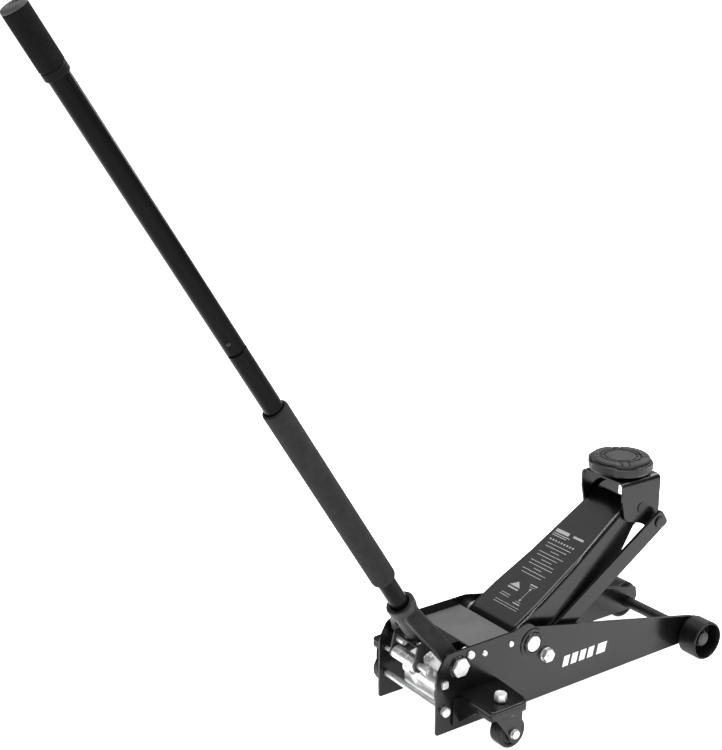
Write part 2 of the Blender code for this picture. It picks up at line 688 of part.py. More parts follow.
LINK_OUTLINE = rounded([
    link_corner(LINK_BASE, -17.0, -LINK_HALF_WIDTH, 7.0),
    link_corner(LINK_TIP, 17.0, -LINK_HALF_WIDTH, 6.5),
    link_corner(LINK_TIP, 17.0, LINK_HALF_WIDTH, 6.5),
    link_corner(LINK_BASE, -17.0, LINK_HALF_WIDTH, 7.0),
])
for side, word in ((1, "left"), (-1, "right")):
    low, high = sorted((side * LINK_IN, side * LINK_OUT))
    holes = [disc_hole(*LINK_BASE, LINK_PIN_RADIUS + RUNNING, 24)]
    holes.append(disc_hole(*LINK_TIP, LINK_PIN_RADIUS + RUNNING, 16))
    make(f"radius_link_{word}", plate(
        LINK_OUTLINE, low, high, "XZ", holes), "gloss_black", xz(LINK_BASE), bevel=0.8)
    make(f"link_pin_{word}", lathe(xz(LINK_TIP), (0, side, 0), [
        (8.4, BRACKET_IN - 3.0), (9.6, BRACKET_IN - 2.2), (9.6, BRACKET_IN - GAP),
        (LINK_PIN_RADIUS, BRACKET_IN - GAP), (LINK_PIN_RADIUS, BRACKET_OUT + GAP),
        (11.5, BRACKET_OUT + GAP), (11.5, LINK_IN - GAP), (LINK_PIN_RADIUS, LINK_IN - GAP),
        (LINK_PIN_RADIUS, LINK_OUT + GAP), (10.6, LINK_OUT + GAP), (10.6, LINK_OUT + 2.2),
        (9.0, LINK_OUT + 3.4),
    ], 16), "satin_black", xz(ARM_TIP))
    bolt = [
        (circle(7.2, 12), LINK_IN + GAP), (circle(LINK_PIN_RADIUS, 12), LINK_IN + 1.1),
        (circle(LINK_PIN_RADIUS, 12), LINK_OUT + GAP), (circle(13.0, 12), LINK_OUT + GAP),
        (circle(13.0, 12), PLATE_IN - GAP), (circle(LINK_PIN_RADIUS, 12), PLATE_IN - GAP),
        (circle(LINK_PIN_RADIUS, 12), PLATE_OUT + GAP), (circle(12.8, 12), PLATE_OUT + GAP),
        (circle(12.8, 12), PLATE_OUT + 2.0), (polygon_ring(22.0, 6, 12), PLATE_OUT + 2.0),
        (polygon_ring(22.0, 6, 12), PLATE_OUT + 11.0), (circle(10.2, 12), PLATE_OUT + 12.4),
        (circle(6.6, 12), PLATE_OUT + 12.4), (circle(6.4, 12), PLATE_OUT + 14.6),
    ]
    make(f"link_bolt_{word}", stack(xz(LINK_BASE), (0, side, 0), bolt), "zinc")

# ---------------------------------------------------------------------------------------------
# Hydraulic unit
# ---------------------------------------------------------------------------------------------

PLUNGER_RADIUS = 5.0
PUMP_LEAN = radians(26.6)
PUMP_DOWN = Vector((sin(PUMP_LEAN), 0.0, -cos(PUMP_LEAN)))
ROLLER_POINT = Vector(xz(ROLLER_CENTRE))
PLUNGER_FACE = ROLLER_RADIUS + 0.7
POCKET = 31.4
PUMP_BACK = -586.0
unit = make("power_unit", plate(rounded([
    (PUMP_BACK, 58.0, 6.0), (CYLINDER_REAR, 58.0, 4.0), (CYLINDER_REAR, 122.0, 3.0),
    (-579.0, 114.0, 3.0), (PUMP_BACK, 104.0, 4.0),
]), -42.0, 42.0), "zinc")
combine(unit, rod((-588.0, 0, 99.0), (0, 1, 0), 13.0, -60, 30, 24, 1.6), "UNION")
combine(unit, rod(ROLLER_POINT, PUMP_DOWN, 8.6, POCKET + 0.6, 64.0, 16, 1.0), "UNION")
combine(unit, rod(ROLLER_POINT, PUMP_DOWN, 9.8, 5.0, POCKET, 16, 0.1), "DIFFERENCE")
combine(unit, rod(ROLLER_POINT, PUMP_DOWN, PLUNGER_RADIUS + RUNNING, 5.0, 61.6, 16), "DIFFERENCE")
combine(unit, rod(xz(SOCKET_PIVOT), (0, 0, 1), 6.0, -36, 0, 12), "DIFFERENCE")

make("pump_plunger", lathe(ROLLER_POINT, PUMP_DOWN, [
    (8.0, PLUNGER_FACE), (9.3, PLUNGER_FACE + 0.8), (9.3, PLUNGER_FACE + 3.0),
    (PLUNGER_RADIUS, PLUNGER_FACE + 3.0), (PLUNGER_RADIUS, 45.4), (4.2, 46.2),
], 16), "zinc", ROLLER_POINT)

make("hydraulic_cylinder", lathe((0, 0, CYLINDER_Z), (1, 0, 0), [
    (28.0, CYLINDER_REAR + GAP), (CYLINDER_RADIUS, CYLINDER_REAR + GAP),
    (CYLINDER_RADIUS, CYLINDER_FRONT - 12.0), (31.5, CYLINDER_FRONT - 9.0),
    (31.5, CYLINDER_FRONT - 2.0), (29.5, CYLINDER_FRONT), (14.0 + RUNNING, CYLINDER_FRONT),
    (14.0 + RUNNING, CYLINDER_REAR + 12.0),
], 24), "satin_black")
RAM_FACE = LEVER[0] - LEVER_RADIUS - 1.2
make("ram_rod", lathe((0, 0, CYLINDER_Z), (1, 0, 0), [
    (12.6, CYLINDER_FRONT - 20.0), (14.0, CYLINDER_FRONT - 18.6), (14.0, RAM_FACE - 8.0),
    (19.0, RAM_FACE - 8.0), (19.0, RAM_FACE - 1.2), (17.8, RAM_FACE),
], 24), "zinc", (RAM_FACE, 0, CYLINDER_Z))

# ---------------------------------------------------------------------------------------------
# Handle socket
# ---------------------------------------------------------------------------------------------

HANDLE_AXIS = Vector((-sin(radians(HANDLE_LEAN)), 0.0, cos(radians(HANDLE_LEAN))))
HANDLE_FRONT = Vector((HANDLE_AXIS.z, 0.0, -HANDLE_AXIS.x))
PIVOT_POINT = Vector(xz(SOCKET_PIVOT))


def handle_point(t, front=0.0, y=0.0):
    return PIVOT_POINT + HANDLE_AXIS * t + HANDLE_FRONT * front + Vector((0, y, 0))


def socket_arm(side):
    """One fork arm, from beside the sleeve down to the pivot eye."""
    rings = []
    for t, inner_y, outer_y, half in (
        (112.0, 4.0, 22.0, 12.0), (100.0, 8.0, 27.0, 15.5), (60.0, 33.0, 52.0, 16.5),
        (30.0, 52.0, 68.0, 16.5), (12.0, 60.5, 74.5, 16.0), (0.0, 60.5, 74.5, 15.5),
    ):
        ring = rounded([
            (-half, inner_y, 3.0), (half, inner_y, 3.0), (half, outer_y, 4.0), (-half, outer_y, 4.0),
        ], 2)
        rings.append([handle_point(t, a, side * b) for a, b in ring])
    return rings_solid(rings)


socket = make("handle_socket", lathe(PIVOT_POINT, HANDLE_AXIS, [
    (20.5, 30.0), (22.3, 32.0), (22.6, 104.0), (25.5, 107.0), (25.8, COLLAR_TOP - 2.0),
    (24.6, COLLAR_TOP),
], 24), "cast_grey", PIVOT_POINT)
for side in (1, -1):
    combine(socket, socket_arm(side), "UNION")
    low, high = sorted((side * 60.5, side * 75.5))
    combine(socket, rod(PIVOT_POINT, (0, 1, 0), 18.5, low, high, 24, 1.2), "UNION")
combine(socket, lathe(PIVOT_POINT, HANDLE_AXIS, [
    (TUBE_RADIUS + 0.2, 33.0), (TUBE_RADIUS + 0.2, COLLAR_TOP - 2.4),
    (TUBE_RADIUS + 2.8, COLLAR_TOP + 0.4), (TUBE_RADIUS + 2.8, COLLAR_TOP + 9.0),
], 24), "DIFFERENCE")
combine(socket, rod(PIVOT_POINT, HANDLE_AXIS, 7.0, 20, 60, 12), "DIFFERENCE")
combine(socket, rod(
    PIVOT_POINT, (0, 1, 0), SOCKET_BOLT_RADIUS + RUNNING, -90, 90, 24), "DIFFERENCE")

SCREW_AT = 38.0
SCREW_AXIS = (Vector((0, -1, 0)) - HANDLE_FRONT).normalized()
combine(socket, rod(handle_point(SCREW_AT), SCREW_AXIS, 4.15, 14, 40, 12), "DIFFERENCE")
make("socket_screw", hex_bolt(
    handle_point(SCREW_AT) + SCREW_AXIS * 22.5, SCREW_AXIS, 4.0, 5.6, 9.5, 4.0), "zinc",
    PIVOT_POINT)

CHEEK_IN = 31.5
CHEEK_OUT = 35.5
STUD_AT = (-606.5, 153.0)
CHEEK_HOLE = disc_hole(*ROLLER_CENTRE, 6.0 + RUNNING, 16)
STUD_HOLE = disc_hole(*STUD_AT, 4.0 + RUNNING, 12)


def cheek_corner(t, front, radius):
    spot = handle_point(t, front)
    return (spot.x, spot.z, radius)


CHEEK_OUTLINE = rounded([
    (-627.0, 118.5, 11.0), (-603.5, 118.5, 9.0), (-604.5, 146.0, 3.0),
    cheek_corner(25.0, 4.0, 3.0), cheek_corner(43.0, 4.0, 4.0), cheek_corner(53.0, -25.5, 6.0),
])
strap = make("roller_bracket", plate(
    CHEEK_OUTLINE, -CHEEK_OUT, -CHEEK_IN, "XZ", [CHEEK_HOLE]), "cast_grey", PIVOT_POINT)
combine(strap, plate(
    CHEEK_OUTLINE, CHEEK_IN, CHEEK_OUT, "XZ", [CHEEK_HOLE, STUD_HOLE]), "UNION")
for web in (
    ((25.0, -8.0), (25.0, 4.0), (29.6, 4.0), (29.6, -8.0)),
    ((45.0, -26.8), (45.0, -23.2), (50.0, -23.2), (50.0, -26.8)),
):
    spots = [handle_point(t, f) for t, f in web]
    combine(strap, plate([(p.x, p.z) for p in spots], -CHEEK_IN - 1, CHEEK_IN + 1), "UNION")
combine(strap, rod(PIVOT_POINT, HANDLE_AXIS, 6.6, 5, 60, 12), "DIFFERENCE")

make("pump_roller", tube(
    xz(ROLLER_CENTRE), (0, 1, 0), 6.0 + RUNNING, ROLLER_RADIUS, -ROLLER_HALF, ROLLER_HALF, 16, 1.0),
    "zinc", xz(ROLLER_CENTRE))
make("roller_pin", lathe(xz(ROLLER_CENTRE), (0, 1, 0), [
    (4.0, -64.0), (4.0, -62.5), (8.2, -62.5), (8.2, -56.0), (6.0, -56.0), (6.0, 40.0), (5.2, 40.8),
], 12), "zinc", PIVOT_POINT)
make("anchor_stud", lathe(xz(STUD_AT), (0, 1, 0), [
    (5.8, 14.5), (7.0, 15.6), (7.0, CHEEK_IN - GAP), (4.0, CHEEK_IN - GAP), (4.0, CHEEK_OUT + GAP),
    (6.4, CHEEK_OUT + GAP), (6.4, CHEEK_OUT + 3.0), (5.2, CHEEK_OUT + 4.0),
], 12), "zinc", PIVOT_POINT)

for side, word in ((1, "left"), (-1, "right")):
    make(f"socket_bolt_{word}", hex_bolt(
        xz(SOCKET_PIVOT, side * (PLATE_OUT + SEAT)), (0, side, 0), SOCKET_BOLT_RADIUS, 26.2,
        30.0, 6.5), "zinc")

# ---------------------------------------------------------------------------------------------
# Release drive: a ball end on the handle turns a cup on the valve spindle
# ---------------------------------------------------------------------------------------------

DRIVER_RADIUS = 4.6
CUP_BORE = BALL_RADIUS + 0.4
ball = []
for k in range(8):
    turn = radians(-82.0 + k * 18.7)
    ball.append((BALL_RADIUS * cos(turn), BALL_RADIUS * sin(turn)))
make("release_driver", lathe(PIVOT_POINT, HANDLE_AXIS, ball + [
    (DRIVER_RADIUS, 5.6), (DRIVER_RADIUS, TUBE_START + 2.0), (12.4, TUBE_START + 2.6),
    (13.5, TUBE_START + 3.6), (13.5, 46.0), (12.5, 47.0),
], 12), "zinc", PIVOT_POINT)

cup = [
    (4.4, -34.0), (5.2, -33.0), (5.2, -17.0), (9.0, -13.0), (10.2, -9.0), (10.2, -4.6),
    (9.4, -3.6), (7.2, -3.2),
]
for k in range(4):
    turn = radians(-26.0 - k * 17.0)
    cup.append((CUP_BORE * cos(turn), CUP_BORE * sin(turn)))
make("release_valve", lathe(PIVOT_POINT, (0, 0, 1), cup, 12), "zinc", PIVOT_POINT)

# ---------------------------------------------------------------------------------------------
# Handle
# ---------------------------------------------------------------------------------------------

NECK_END = JOINT_RING + 50.0
NECK_RADIUS = 13.6
make("lower_tube", lathe(PIVOT_POINT, HANDLE_AXIS, [
    (13.8, TUBE_START + 0.5), (14.3, TUBE_START), (TUBE_RADIUS - 0.6, TUBE_START),
    (TUBE_RADIUS, TUBE_START + 0.6), (TUBE_RADIUS, JOINT_RING - 2.0),
    (TUBE_RADIUS - 1.0, JOINT_RING - 1.0), (NECK_RADIUS, JOINT_RING - 1.0),
    (NECK_RADIUS, NECK_END - 1.0), (NECK_RADIUS - 0.6, NECK_END), (11.6, NECK_END),
    (11.6, JOINT_RING - 12.0), (13.8, JOINT_RING - 16.0),
], 24, True), "gloss_black", PIVOT_POINT)
BUTTON_AXIS = (HANDLE_FRONT * -sin(radians(34.0)) + Vector((0, -cos(radians(34.0)), 0))).normalized()
BUTTON_POINT = handle_point(BUTTON_AT)
combine(bpy.data.objects["lower_tube"], rod(BUTTON_POINT, BUTTON_AXIS, 3.75, 6, 30, 24, 0.1), "DIFFERENCE")
make("upper_tube", lathe(PIVOT_POINT, HANDLE_AXIS, [
    (NECK_RADIUS + GAP, JOINT_RING + 1.6), (NECK_RADIUS + GAP + 0.4, JOINT_RING + 1.2),
    (TUBE_RADIUS - 0.9, JOINT_RING + 1.2), (TUBE_RADIUS, JOINT_RING + 2.2),
    (TUBE_RADIUS, GRIP_END - 6.6), (TUBE_RADIUS - 0.6, GRIP_END - 6.0),
    (NECK_RADIUS + GAP, GRIP_END - 6.0),
], 24, True), "gloss_black", PIVOT_POINT)
combine(bpy.data.objects["upper_tube"], rod(BUTTON_POINT, BUTTON_AXIS, 3.75, 6, 30, 24, 0.1), "DIFFERENCE")
make("detent_button", lathe(BUTTON_POINT, BUTTON_AXIS, [
    (4.8, 8.6), (4.8, 10.0), (3.5, 10.0), (3.5, 16.6), (3.2, 17.6), (2.4, 18.4), (1.2, 18.8),
], 12), "satin_black", BUTTON_POINT)

make("foam_sleeve", lathe(PIVOT_POINT, HANDLE_AXIS, [
    (TUBE_RADIUS + RUNNING, SLEEVE_START + 3.0), (TUBE_RADIUS + 1.4, SLEEVE_START),
    (TUBE_RADIUS + 3.4, SLEEVE_START), (SLEEVE_RADIUS - 0.7, SLEEVE_START + 2.6),
    (SLEEVE_RADIUS, SLEEVE_START + 6.0), (SLEEVE_RADIUS, SLEEVE_END - 4.0),
    (SLEEVE_RADIUS - 0.6, SLEEVE_END - 1.4), (SLEEVE_RADIUS - 2.4, SLEEVE_END),
    (TUBE_RADIUS + 1.0, SLEEVE_END), (TUBE_RADIUS + RUNNING, SLEEVE_END - 2.0),
], 24, True), "foam", PIVOT_POINT)

make("handle_grip", lathe(PIVOT_POINT, HANDLE_AXIS, [
    (TUBE_RADIUS + RUNNING, GRIP_START + 0.8), (TUBE_RADIUS + 0.8, GRIP_START),
    (GRIP_RADIUS - 1.6, GRIP_START), (GRIP_RADIUS - 0.2, GRIP_START + 2.0),
    (GRIP_RADIUS - 0.2, GRIP_START + 11.0), (GRIP_RADIUS - 1.2, GRIP_START + 12.0),
    (GRIP_RADIUS - 1.2, GRIP_START + 14.0), (GRIP_RADIUS, GRIP_START + 15.0),
    (GRIP_RADIUS, GRIP_END - 6.0), (TUBE_RADIUS + RUNNING, GRIP_END - 6.0),
], 24, True), "grip_black", PIVOT_POINT)
make("grip_cap", lathe(PIVOT_POINT, HANDLE_AXIS, [
    (12.8, GRIP_END - 24.0), (NECK_RADIUS, GRIP_END - 23.0), (NECK_RADIUS, GRIP_END - 6.0 + GAP),
    (GRIP_RADIUS, GRIP_END - 6.0 + GAP), (GRIP_RADIUS, GRIP_END - 3.0),
    (GRIP_RADIUS - 0.8, GRIP_END - 1.0), (GRIP_RADIUS - 3.0, GRIP_END),
], 24), "grip_black", PIVOT_POINT)

# ---------------------------------------------------------------------------------------------
# Casters
# ---------------------------------------------------------------------------------------------

SHELF_CORNERS = (
    (-479.5, 0.0, 0.0), (-491.5, 74.0, 8.0), (-496.5, 86.3, 9.0), (-566.0, 86.3, 8.0),
    (-566.0, 0.0, 0.0),
)
SHELF_BASE = PLATE_OUT + GAP


def shelf_outline(side, inset):
    """The shelf's plan, pulled in by an inset on its three free sides."""
    corners = []
    for x, out, radius in SHELF_CORNERS:
        pull = inset if x < -520 else -inset
        reach = out - inset if out > 80 else out
        if inset and out == 0.0:
            reach = -5.0
        corners.append((x + pull, side * (SHELF_BASE + reach), max(radius - inset, 0.0)))
    return rounded(corners)


FORK_IN = CASTER_WIDTH / 2 + 0.7
FORK_OUT = FORK_IN + 3.0
SHELF_LOW = SHELF_TOP - SHELF_SHEET
FLANGE_LOW = 70.0
CROWN_LOW = 65.4
CROWN_TOP = FLANGE_LOW - 0.6
FORK_LEG = rounded([
    (-550.5, 68.0, 0), (-491.5, 68.0, 0), (-491.0, 9.0, 15.0), (-514.0, 9.0, 10.0),
    (-522.0, 27.0, 5.0),
], 2)
for side, word in ((1, "left"), (-1, "right")):
    axle_spot = (SWIVEL[0] - side * CASTER_TRAIL, CASTER_RADIUS)
    leg = FORK_LEG if side < 0 else [(2 * SWIVEL[0] - x, z) for x, z in reversed(FORK_LEG)]
    shelf = make(f"caster_bracket_{word}", plate(
        shelf_outline(side, 0.0), FLANGE_LOW, SHELF_TOP, "XY"), "gloss_black", bevel=1.2)
    combine(shelf, plate(shelf_outline(side, 3.4), 60.0, SHELF_LOW, "XY"), "DIFFERENCE")
    gusset = [(SHELF_BASE, 31.0), (SHELF_BASE, 80.0), (SHELF_BASE + 60.0, 80.0),
              (SHELF_BASE + 60.0, 71.0), (SHELF_BASE + 47.2, 71.0)]
    combine(shelf, plate([(side * a, b) for a, b in gusset], -566.05, -562.55, "YZ"), "UNION")
    low, high = sorted((side * SHELF_BASE, side * (SHELF_BASE + 3.4)))
    foot = [(-580.0, 31.0), (-580.0, 80.0), (-482.0, 80.0), (-482.0, 60.0), (-558.0, 31.0)]
    combine(shelf, plate(foot, low, high), "UNION")
    king = (SWIVEL[0], side * SWIVEL[1], 0.0)
    combine(shelf, rod(king, (0, 0, 1), 6.0 + RUNNING, 60, 100, 12, 0.1), "DIFFERENCE")

    fork = make(f"caster_fork_{word}", lathe(king, (0, 0, 1), [
        (6.0 + RUNNING, CROWN_LOW), (23.4, CROWN_LOW), (24.2, CROWN_LOW + 0.8), (24.2, CROWN_TOP),
        (18.0, CROWN_TOP), (18.0, SHELF_LOW - GAP), (6.0 + RUNNING, SHELF_LOW - GAP),
    ], 20, True), "gloss_black", king)
    for sign in (1, -1):
        low, high = sorted((king[1] + sign * FORK_IN, king[1] + sign * FORK_OUT))
        combine(fork, plate(
            leg, low, high, "XZ", [disc_hole(*axle_spot, 4.0 + RUNNING, 12)]), "UNION")
    make(f"caster_wheel_{word}", lathe(xz(axle_spot, king[1]), (0, 1, 0), [
        (4.0 + RUNNING, -13.0), (8.0, -13.0), (9.0, -11.6), (20.0, -11.0), (22.5, -13.2),
        (26.6, -13.2), (28.0, -12.0), (CASTER_RADIUS, -10.0), (CASTER_RADIUS, 10.0),
        (28.0, 12.0), (26.6, 13.2), (22.5, 13.2), (20.0, 11.0), (9.0, 11.6), (8.0, 13.0),
        (4.0 + RUNNING, 13.0),
    ], 18, True), "caster_black", xz(axle_spot, king[1]))
    axle = [
        (circle(5.6, 12), -FORK_OUT - 4.6), (polygon_ring(11.5, 6, 12), -FORK_OUT - 3.8),
        (polygon_ring(11.5, 6, 12), -FORK_OUT - GAP), (circle(4.0, 12), -FORK_OUT - GAP),
        (circle(4.0, 12), FORK_OUT + GAP), (circle(8.6, 12), FORK_OUT + GAP),
        (circle(8.6, 12), FORK_OUT + 1.2), (polygon_ring(14.6, 6, 12), FORK_OUT + 1.2),
        (polygon_ring(14.6, 6, 12), FORK_OUT + 5.6), (circle(7.0, 12), FORK_OUT + 6.6),
    ]
    make(f"caster_axle_{word}", stack(
        xz(axle_spot, king[1]), (0, side, 0), axle), "zinc", xz(axle_spot, king[1]))
    bolt = [
        (circle(5.4, 12), 58.4), (circle(6.0, 12), 59.0), (circle(6.0, 12), 60.0),
        (polygon_ring(17.0, 6, 12), 60.0), (polygon_ring(17.0, 6, 12), CROWN_LOW - GAP),
        (circle(6.0, 12), CROWN_LOW - GAP), (circle(6.0, 12), SHELF_TOP + GAP),
        (circle(12.0, 12), SHELF_TOP + GAP), (circle(12.0, 12), SHELF_TOP + 2.4),
        (polygon_ring(19.0, 6, 12), SHELF_TOP + 2.4), (polygon_ring(19.0, 6, 12), SHELF_TOP + 14.0),
        (circle(9.2, 12), SHELF_TOP + 15.0),
    ]
    make(f"caster_bolt_{word}", stack(king, (0, 0, 1), bolt), "zinc", king)
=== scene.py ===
"""Looks of the floor jack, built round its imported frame.

Lengths in the geometry are millimetres in a layout frame: X runs forward from the front axle, Y to
the left, Z up. place() turns them into metres in the frame's own coordinates.
"""

import json
from math import acos, atan2, cos, pi, radians, sin, sqrt, tan

import bpy
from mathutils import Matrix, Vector
from mathutils.geometry import tessellate_polygon


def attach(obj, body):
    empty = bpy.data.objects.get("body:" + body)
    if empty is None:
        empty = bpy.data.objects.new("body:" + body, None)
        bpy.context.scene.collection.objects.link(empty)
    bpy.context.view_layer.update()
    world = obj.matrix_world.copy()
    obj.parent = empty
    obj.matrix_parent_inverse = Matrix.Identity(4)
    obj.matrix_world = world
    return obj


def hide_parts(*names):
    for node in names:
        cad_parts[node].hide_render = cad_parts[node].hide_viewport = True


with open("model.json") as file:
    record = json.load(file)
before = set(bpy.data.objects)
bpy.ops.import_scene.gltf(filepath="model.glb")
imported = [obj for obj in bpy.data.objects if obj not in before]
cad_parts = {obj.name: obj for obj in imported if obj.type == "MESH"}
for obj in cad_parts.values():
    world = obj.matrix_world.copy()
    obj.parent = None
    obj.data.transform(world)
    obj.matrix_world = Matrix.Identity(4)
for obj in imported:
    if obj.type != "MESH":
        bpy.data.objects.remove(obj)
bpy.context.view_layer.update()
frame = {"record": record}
BODY_OF = {
    node: body
    for body, members in frame["record"]["behaviour"]["bodies"].items()
    for node in members
}
PIECES = []

MM = 0.001
ORIGIN_SHIFT = 609.61  # the layout's front axle lies this far forward of the frame's origin
DETAIL = 4  # curves have this many times the steps asked for
GAP = 0.3  # between two pieces that rest on each other
RUNNING = 0.15  # between a pin and its bore, on the radius
SIDES = ((1, "left"), (-1, "right"))
ACROSS = (0, 1, 0)
UP = (0, 0, 1)

# Frame plates
PLATE_IN = 79.4
PLATE_OUT = 83.4
PLATE_REAR = -613.0
PLATE_BOTTOM = 20.0
PLATE_TOP = 165.0
BOSS_RADIUS = 27.5

# Front axle and wheels
AXLE_Z = 37.0
AXLE_RADIUS = 11.0
WHEEL_RADIUS = 37.0
WHEEL_INNER_Y = 90.0
WHEEL_OUTER_Y = 131.0

# Lift linkage: arm and links are the long sides of a parallelogram
ARM_PIVOT = (-402.5, 132.0)
ARM_TIP = (-118.0, 310.0)
LINK_OFFSET = (32.0, -30.5)
LINK_BASE = (ARM_PIVOT[0] + LINK_OFFSET[0], ARM_PIVOT[1] + LINK_OFFSET[1])
LINK_TIP = (ARM_TIP[0] + LINK_OFFSET[0], ARM_TIP[1] + LINK_OFFSET[1])
PIVOT_RADIUS = 12.0
TIP_RADIUS = 8.0
LINK_PIN_RADIUS = 8.0
LINK_IN = 64.0
LINK_OUT = 70.0
LINK_HALF_WIDTH = 16.5
ARM_BASE_HALF = 62.5
ARM_TIP_HALF = 47.2
ARM_TOP = 25.0
ARM_SHEET = 5.0
BARREL_RADIUS = 33.0
LEVER_LENGTH = 48.0
LEVER_ANGLE = -74.4
LEVER_RADIUS = 9.0

# Saddle and its bracket
SADDLE_X = -123.0
SADDLE_TOP = 397.0
PAD_RADIUS = 54.0
CUP_RADIUS = 60.5
BRACKET_IN = 49.8
BRACKET_OUT = 53.8
BRACKET_REAR = -168.0
BRACKET_FRONT = -72.0
BRACKET_TOP = 366.0
BRACKET_SHEET = 4.0
STEM_RADIUS = 12.0

# Pump end
SOCKET_PIVOT = (-566.0, 136.0)
SOCKET_BOLT_RADIUS = 10.0
ROLLER_CENTRE = (-613.0, 131.0)
ROLLER_RADIUS = 12.0
ROLLER_HALF = 30.0
BALL_RADIUS = 7.0
CYLINDER_Z = 87.5
CYLINDER_RADIUS = 35.0
CYLINDER_REAR = -528.0
CYLINDER_FRONT = -452.0

# Handle, by distance along its axis from the socket pivot
HANDLE_LEAN = 31.8
TUBE_RADIUS = 16.0
TUBE_START = 34.0
COLLAR_TOP = 121.0
SLEEVE_START = 182.0
SLEEVE_END = 575.0
JOINT_RING = 695.0
BUTTON_AT = 719.0
GRIP_START = 1174.0
GRIP_END = 1280.0
GRIP_RADIUS = 19.3
SLEEVE_RADIUS = 21.8

# Casters
SWIVEL = (-526.0, 145.0)
CASTER_RADIUS = 28.5
CASTER_WIDTH = 27.3
CASTER_TRAIL = 17.0
SHELF_TOP = 87.5
SHELF_SHEET = 4.0


def place(point):
    return Vector(((point[0] + ORIGIN_SHIFT) * MM, point[1] * MM, point[2] * MM))


def volume_of(points, faces):
    total = 0.0
    for face in faces:
        for k in range(1, len(face) - 1):
            a, b, c = points[face[0]], points[face[k]], points[face[k + 1]]
            total += a.dot(b.cross(c))
    return total


def new_object(name, data):
    obj = bpy.data.objects.new(name, data)
    bpy.context.scene.collection.objects.link(obj)
    return obj


def solid_object(name, solid):
    """A plain mesh object from (points, faces) in layout millimetres, with its faces outward."""
    points, faces = solid
    placed = [place(p) for p in points]
    if volume_of(placed, faces) < 0:
        faces = [tuple(reversed(face)) for face in faces]
    mesh = bpy.data.meshes.new(name)
    mesh.from_pydata(placed, [], faces)
    mesh.update()
    mesh.validate()
    return new_object(name, mesh)


def settle(obj):
    """Replaces an object's mesh by what its modifiers make of it."""
    bpy.context.view_layer.update()
    graph = bpy.context.evaluated_depsgraph_get()
    mesh = bpy.data.meshes.new_from_object(obj.evaluated_get(graph))
    obj.modifiers.clear()
    old = obj.data
    obj.data = mesh
    bpy.data.meshes.remove(old)


def make(name, solid, key, bevel=0.0, angle=30.0, nodes=None, body=None):
    """A finished piece that stands for the CAD node of the same name, or for the nodes given."""
    obj = solid_object(name + "_look", solid)
    PIECES.append({
        "obj": obj, "key": key, "bevel": bevel, "angle": angle,
        "nodes": [name] if nodes is None else nodes, "body": body,
    })
    return obj


def combine(obj, solid, operation):
    """Adds to or cuts from an object with a helper solid, at once."""
    helper = solid_object("helper", solid)
    step = obj.modifiers.new("step", "BOOLEAN")
    step.operation = operation
    step.object = helper
    step.solver = "EXACT"
    settle(obj)
    mesh = helper.data
    bpy.data.objects.remove(helper)
    bpy.data.meshes.remove(mesh)


def add(obj, solid):
    combine(obj, solid, "UNION")


def cut(obj, solid):
    combine(obj, solid, "DIFFERENCE")


def basis(axis):
    """Two unit vectors square to an axis, so that (u, v, axis) is right-handed."""
    w = Vector(axis).normalized()
    side = Vector((0, 1, 0)) if abs(w.y) < 0.9 else Vector((1, 0, 0))
    u = side.cross(w).normalized()
    return u, w.cross(u), w


def rings_solid(rings, closed=False):
    """Skins equal-sized rings of points. A closed run joins its last ring to its first."""
    count = len(rings[0])
    points = [Vector(p) for ring in rings for p in ring]
    faces = []
    spans = len(rings) if closed else len(rings) - 1
    for i in range(spans):
        a = i * count
        b = ((i + 1) % len(rings)) * count
        for k in range(count):
            m = (k + 1) % count
            faces.append((a + k, a + m, b + m, b + k))
    if not closed:
        faces.append(tuple(reversed(range(count))))
        faces.append(tuple(range(len(points) - count, len(points))))
    return points, faces


def circle(radius, steps):
    steps *= DETAIL
    turns = [2 * pi * k / steps for k in range(steps)]
    return [(radius * cos(turn), radius * sin(turn)) for turn in turns]


def polygon_ring(across, sides, steps):
    """A regular polygon sampled at equal angles, given by its distance across flats."""
    ring = []
    steps *= DETAIL
    sector = 2 * pi / sides
    for k in range(steps):
        turn = 2 * pi * k / steps
        local = (turn + sector / 2) % sector - sector / 2
        radius = (across / 2) / cos(local)
        ring.append((radius * cos(turn), radius * sin(turn)))
    return ring


def disc(radius):
    return circle(radius, 12)


def hexagon(across):
    return polygon_ring(across, 6, 12)


def stack(centre, axis, levels):
    """A solid along an axis from (ring, distance) levels."""
    u, v, w = basis(axis)
    base = Vector(centre)
    return rings_solid([[base + u * x + v * y + w * h for x, y in ring] for ring, h in levels])


def lathe(centre, axis, profile, steps=16, closed=False):
    """Turns (radius, distance) points about an axis. Closed profiles make rings and tubes."""
    u, v, w = basis(axis)
    base = Vector(centre)
    rings = []
    for radius, h in profile:
        rings.append([base + u * x + v * y + w * h for x, y in circle(radius, steps)])
    return rings_solid(rings, closed)


def arc(radius, first, step, count):
    """Points of a round profile from a first angle on, in degrees."""
    turns = [radians(first + k * step) for k in range(count)]
    return [(radius * cos(turn), radius * sin(turn)) for turn in turns]


def mirrored(half):
    """A profile with two equal ends, from the (radius, distance) points of its far half."""
    return [(radius, -distance) for radius, distance in reversed(half)] + half


def span(side, inner, outer):
    """Two distances from the middle plane as levels on one side of it, the lower first."""
    return sorted((side * inner, side * outer))


def rod(centre, axis, radius, start, end, steps=16, chamfer=0.6):
    profile = [(radius - chamfer, start), (radius, start + chamfer)]
    profile += [(radius, end - chamfer), (radius - chamfer, end)]
    return lathe(centre, axis, profile, steps)


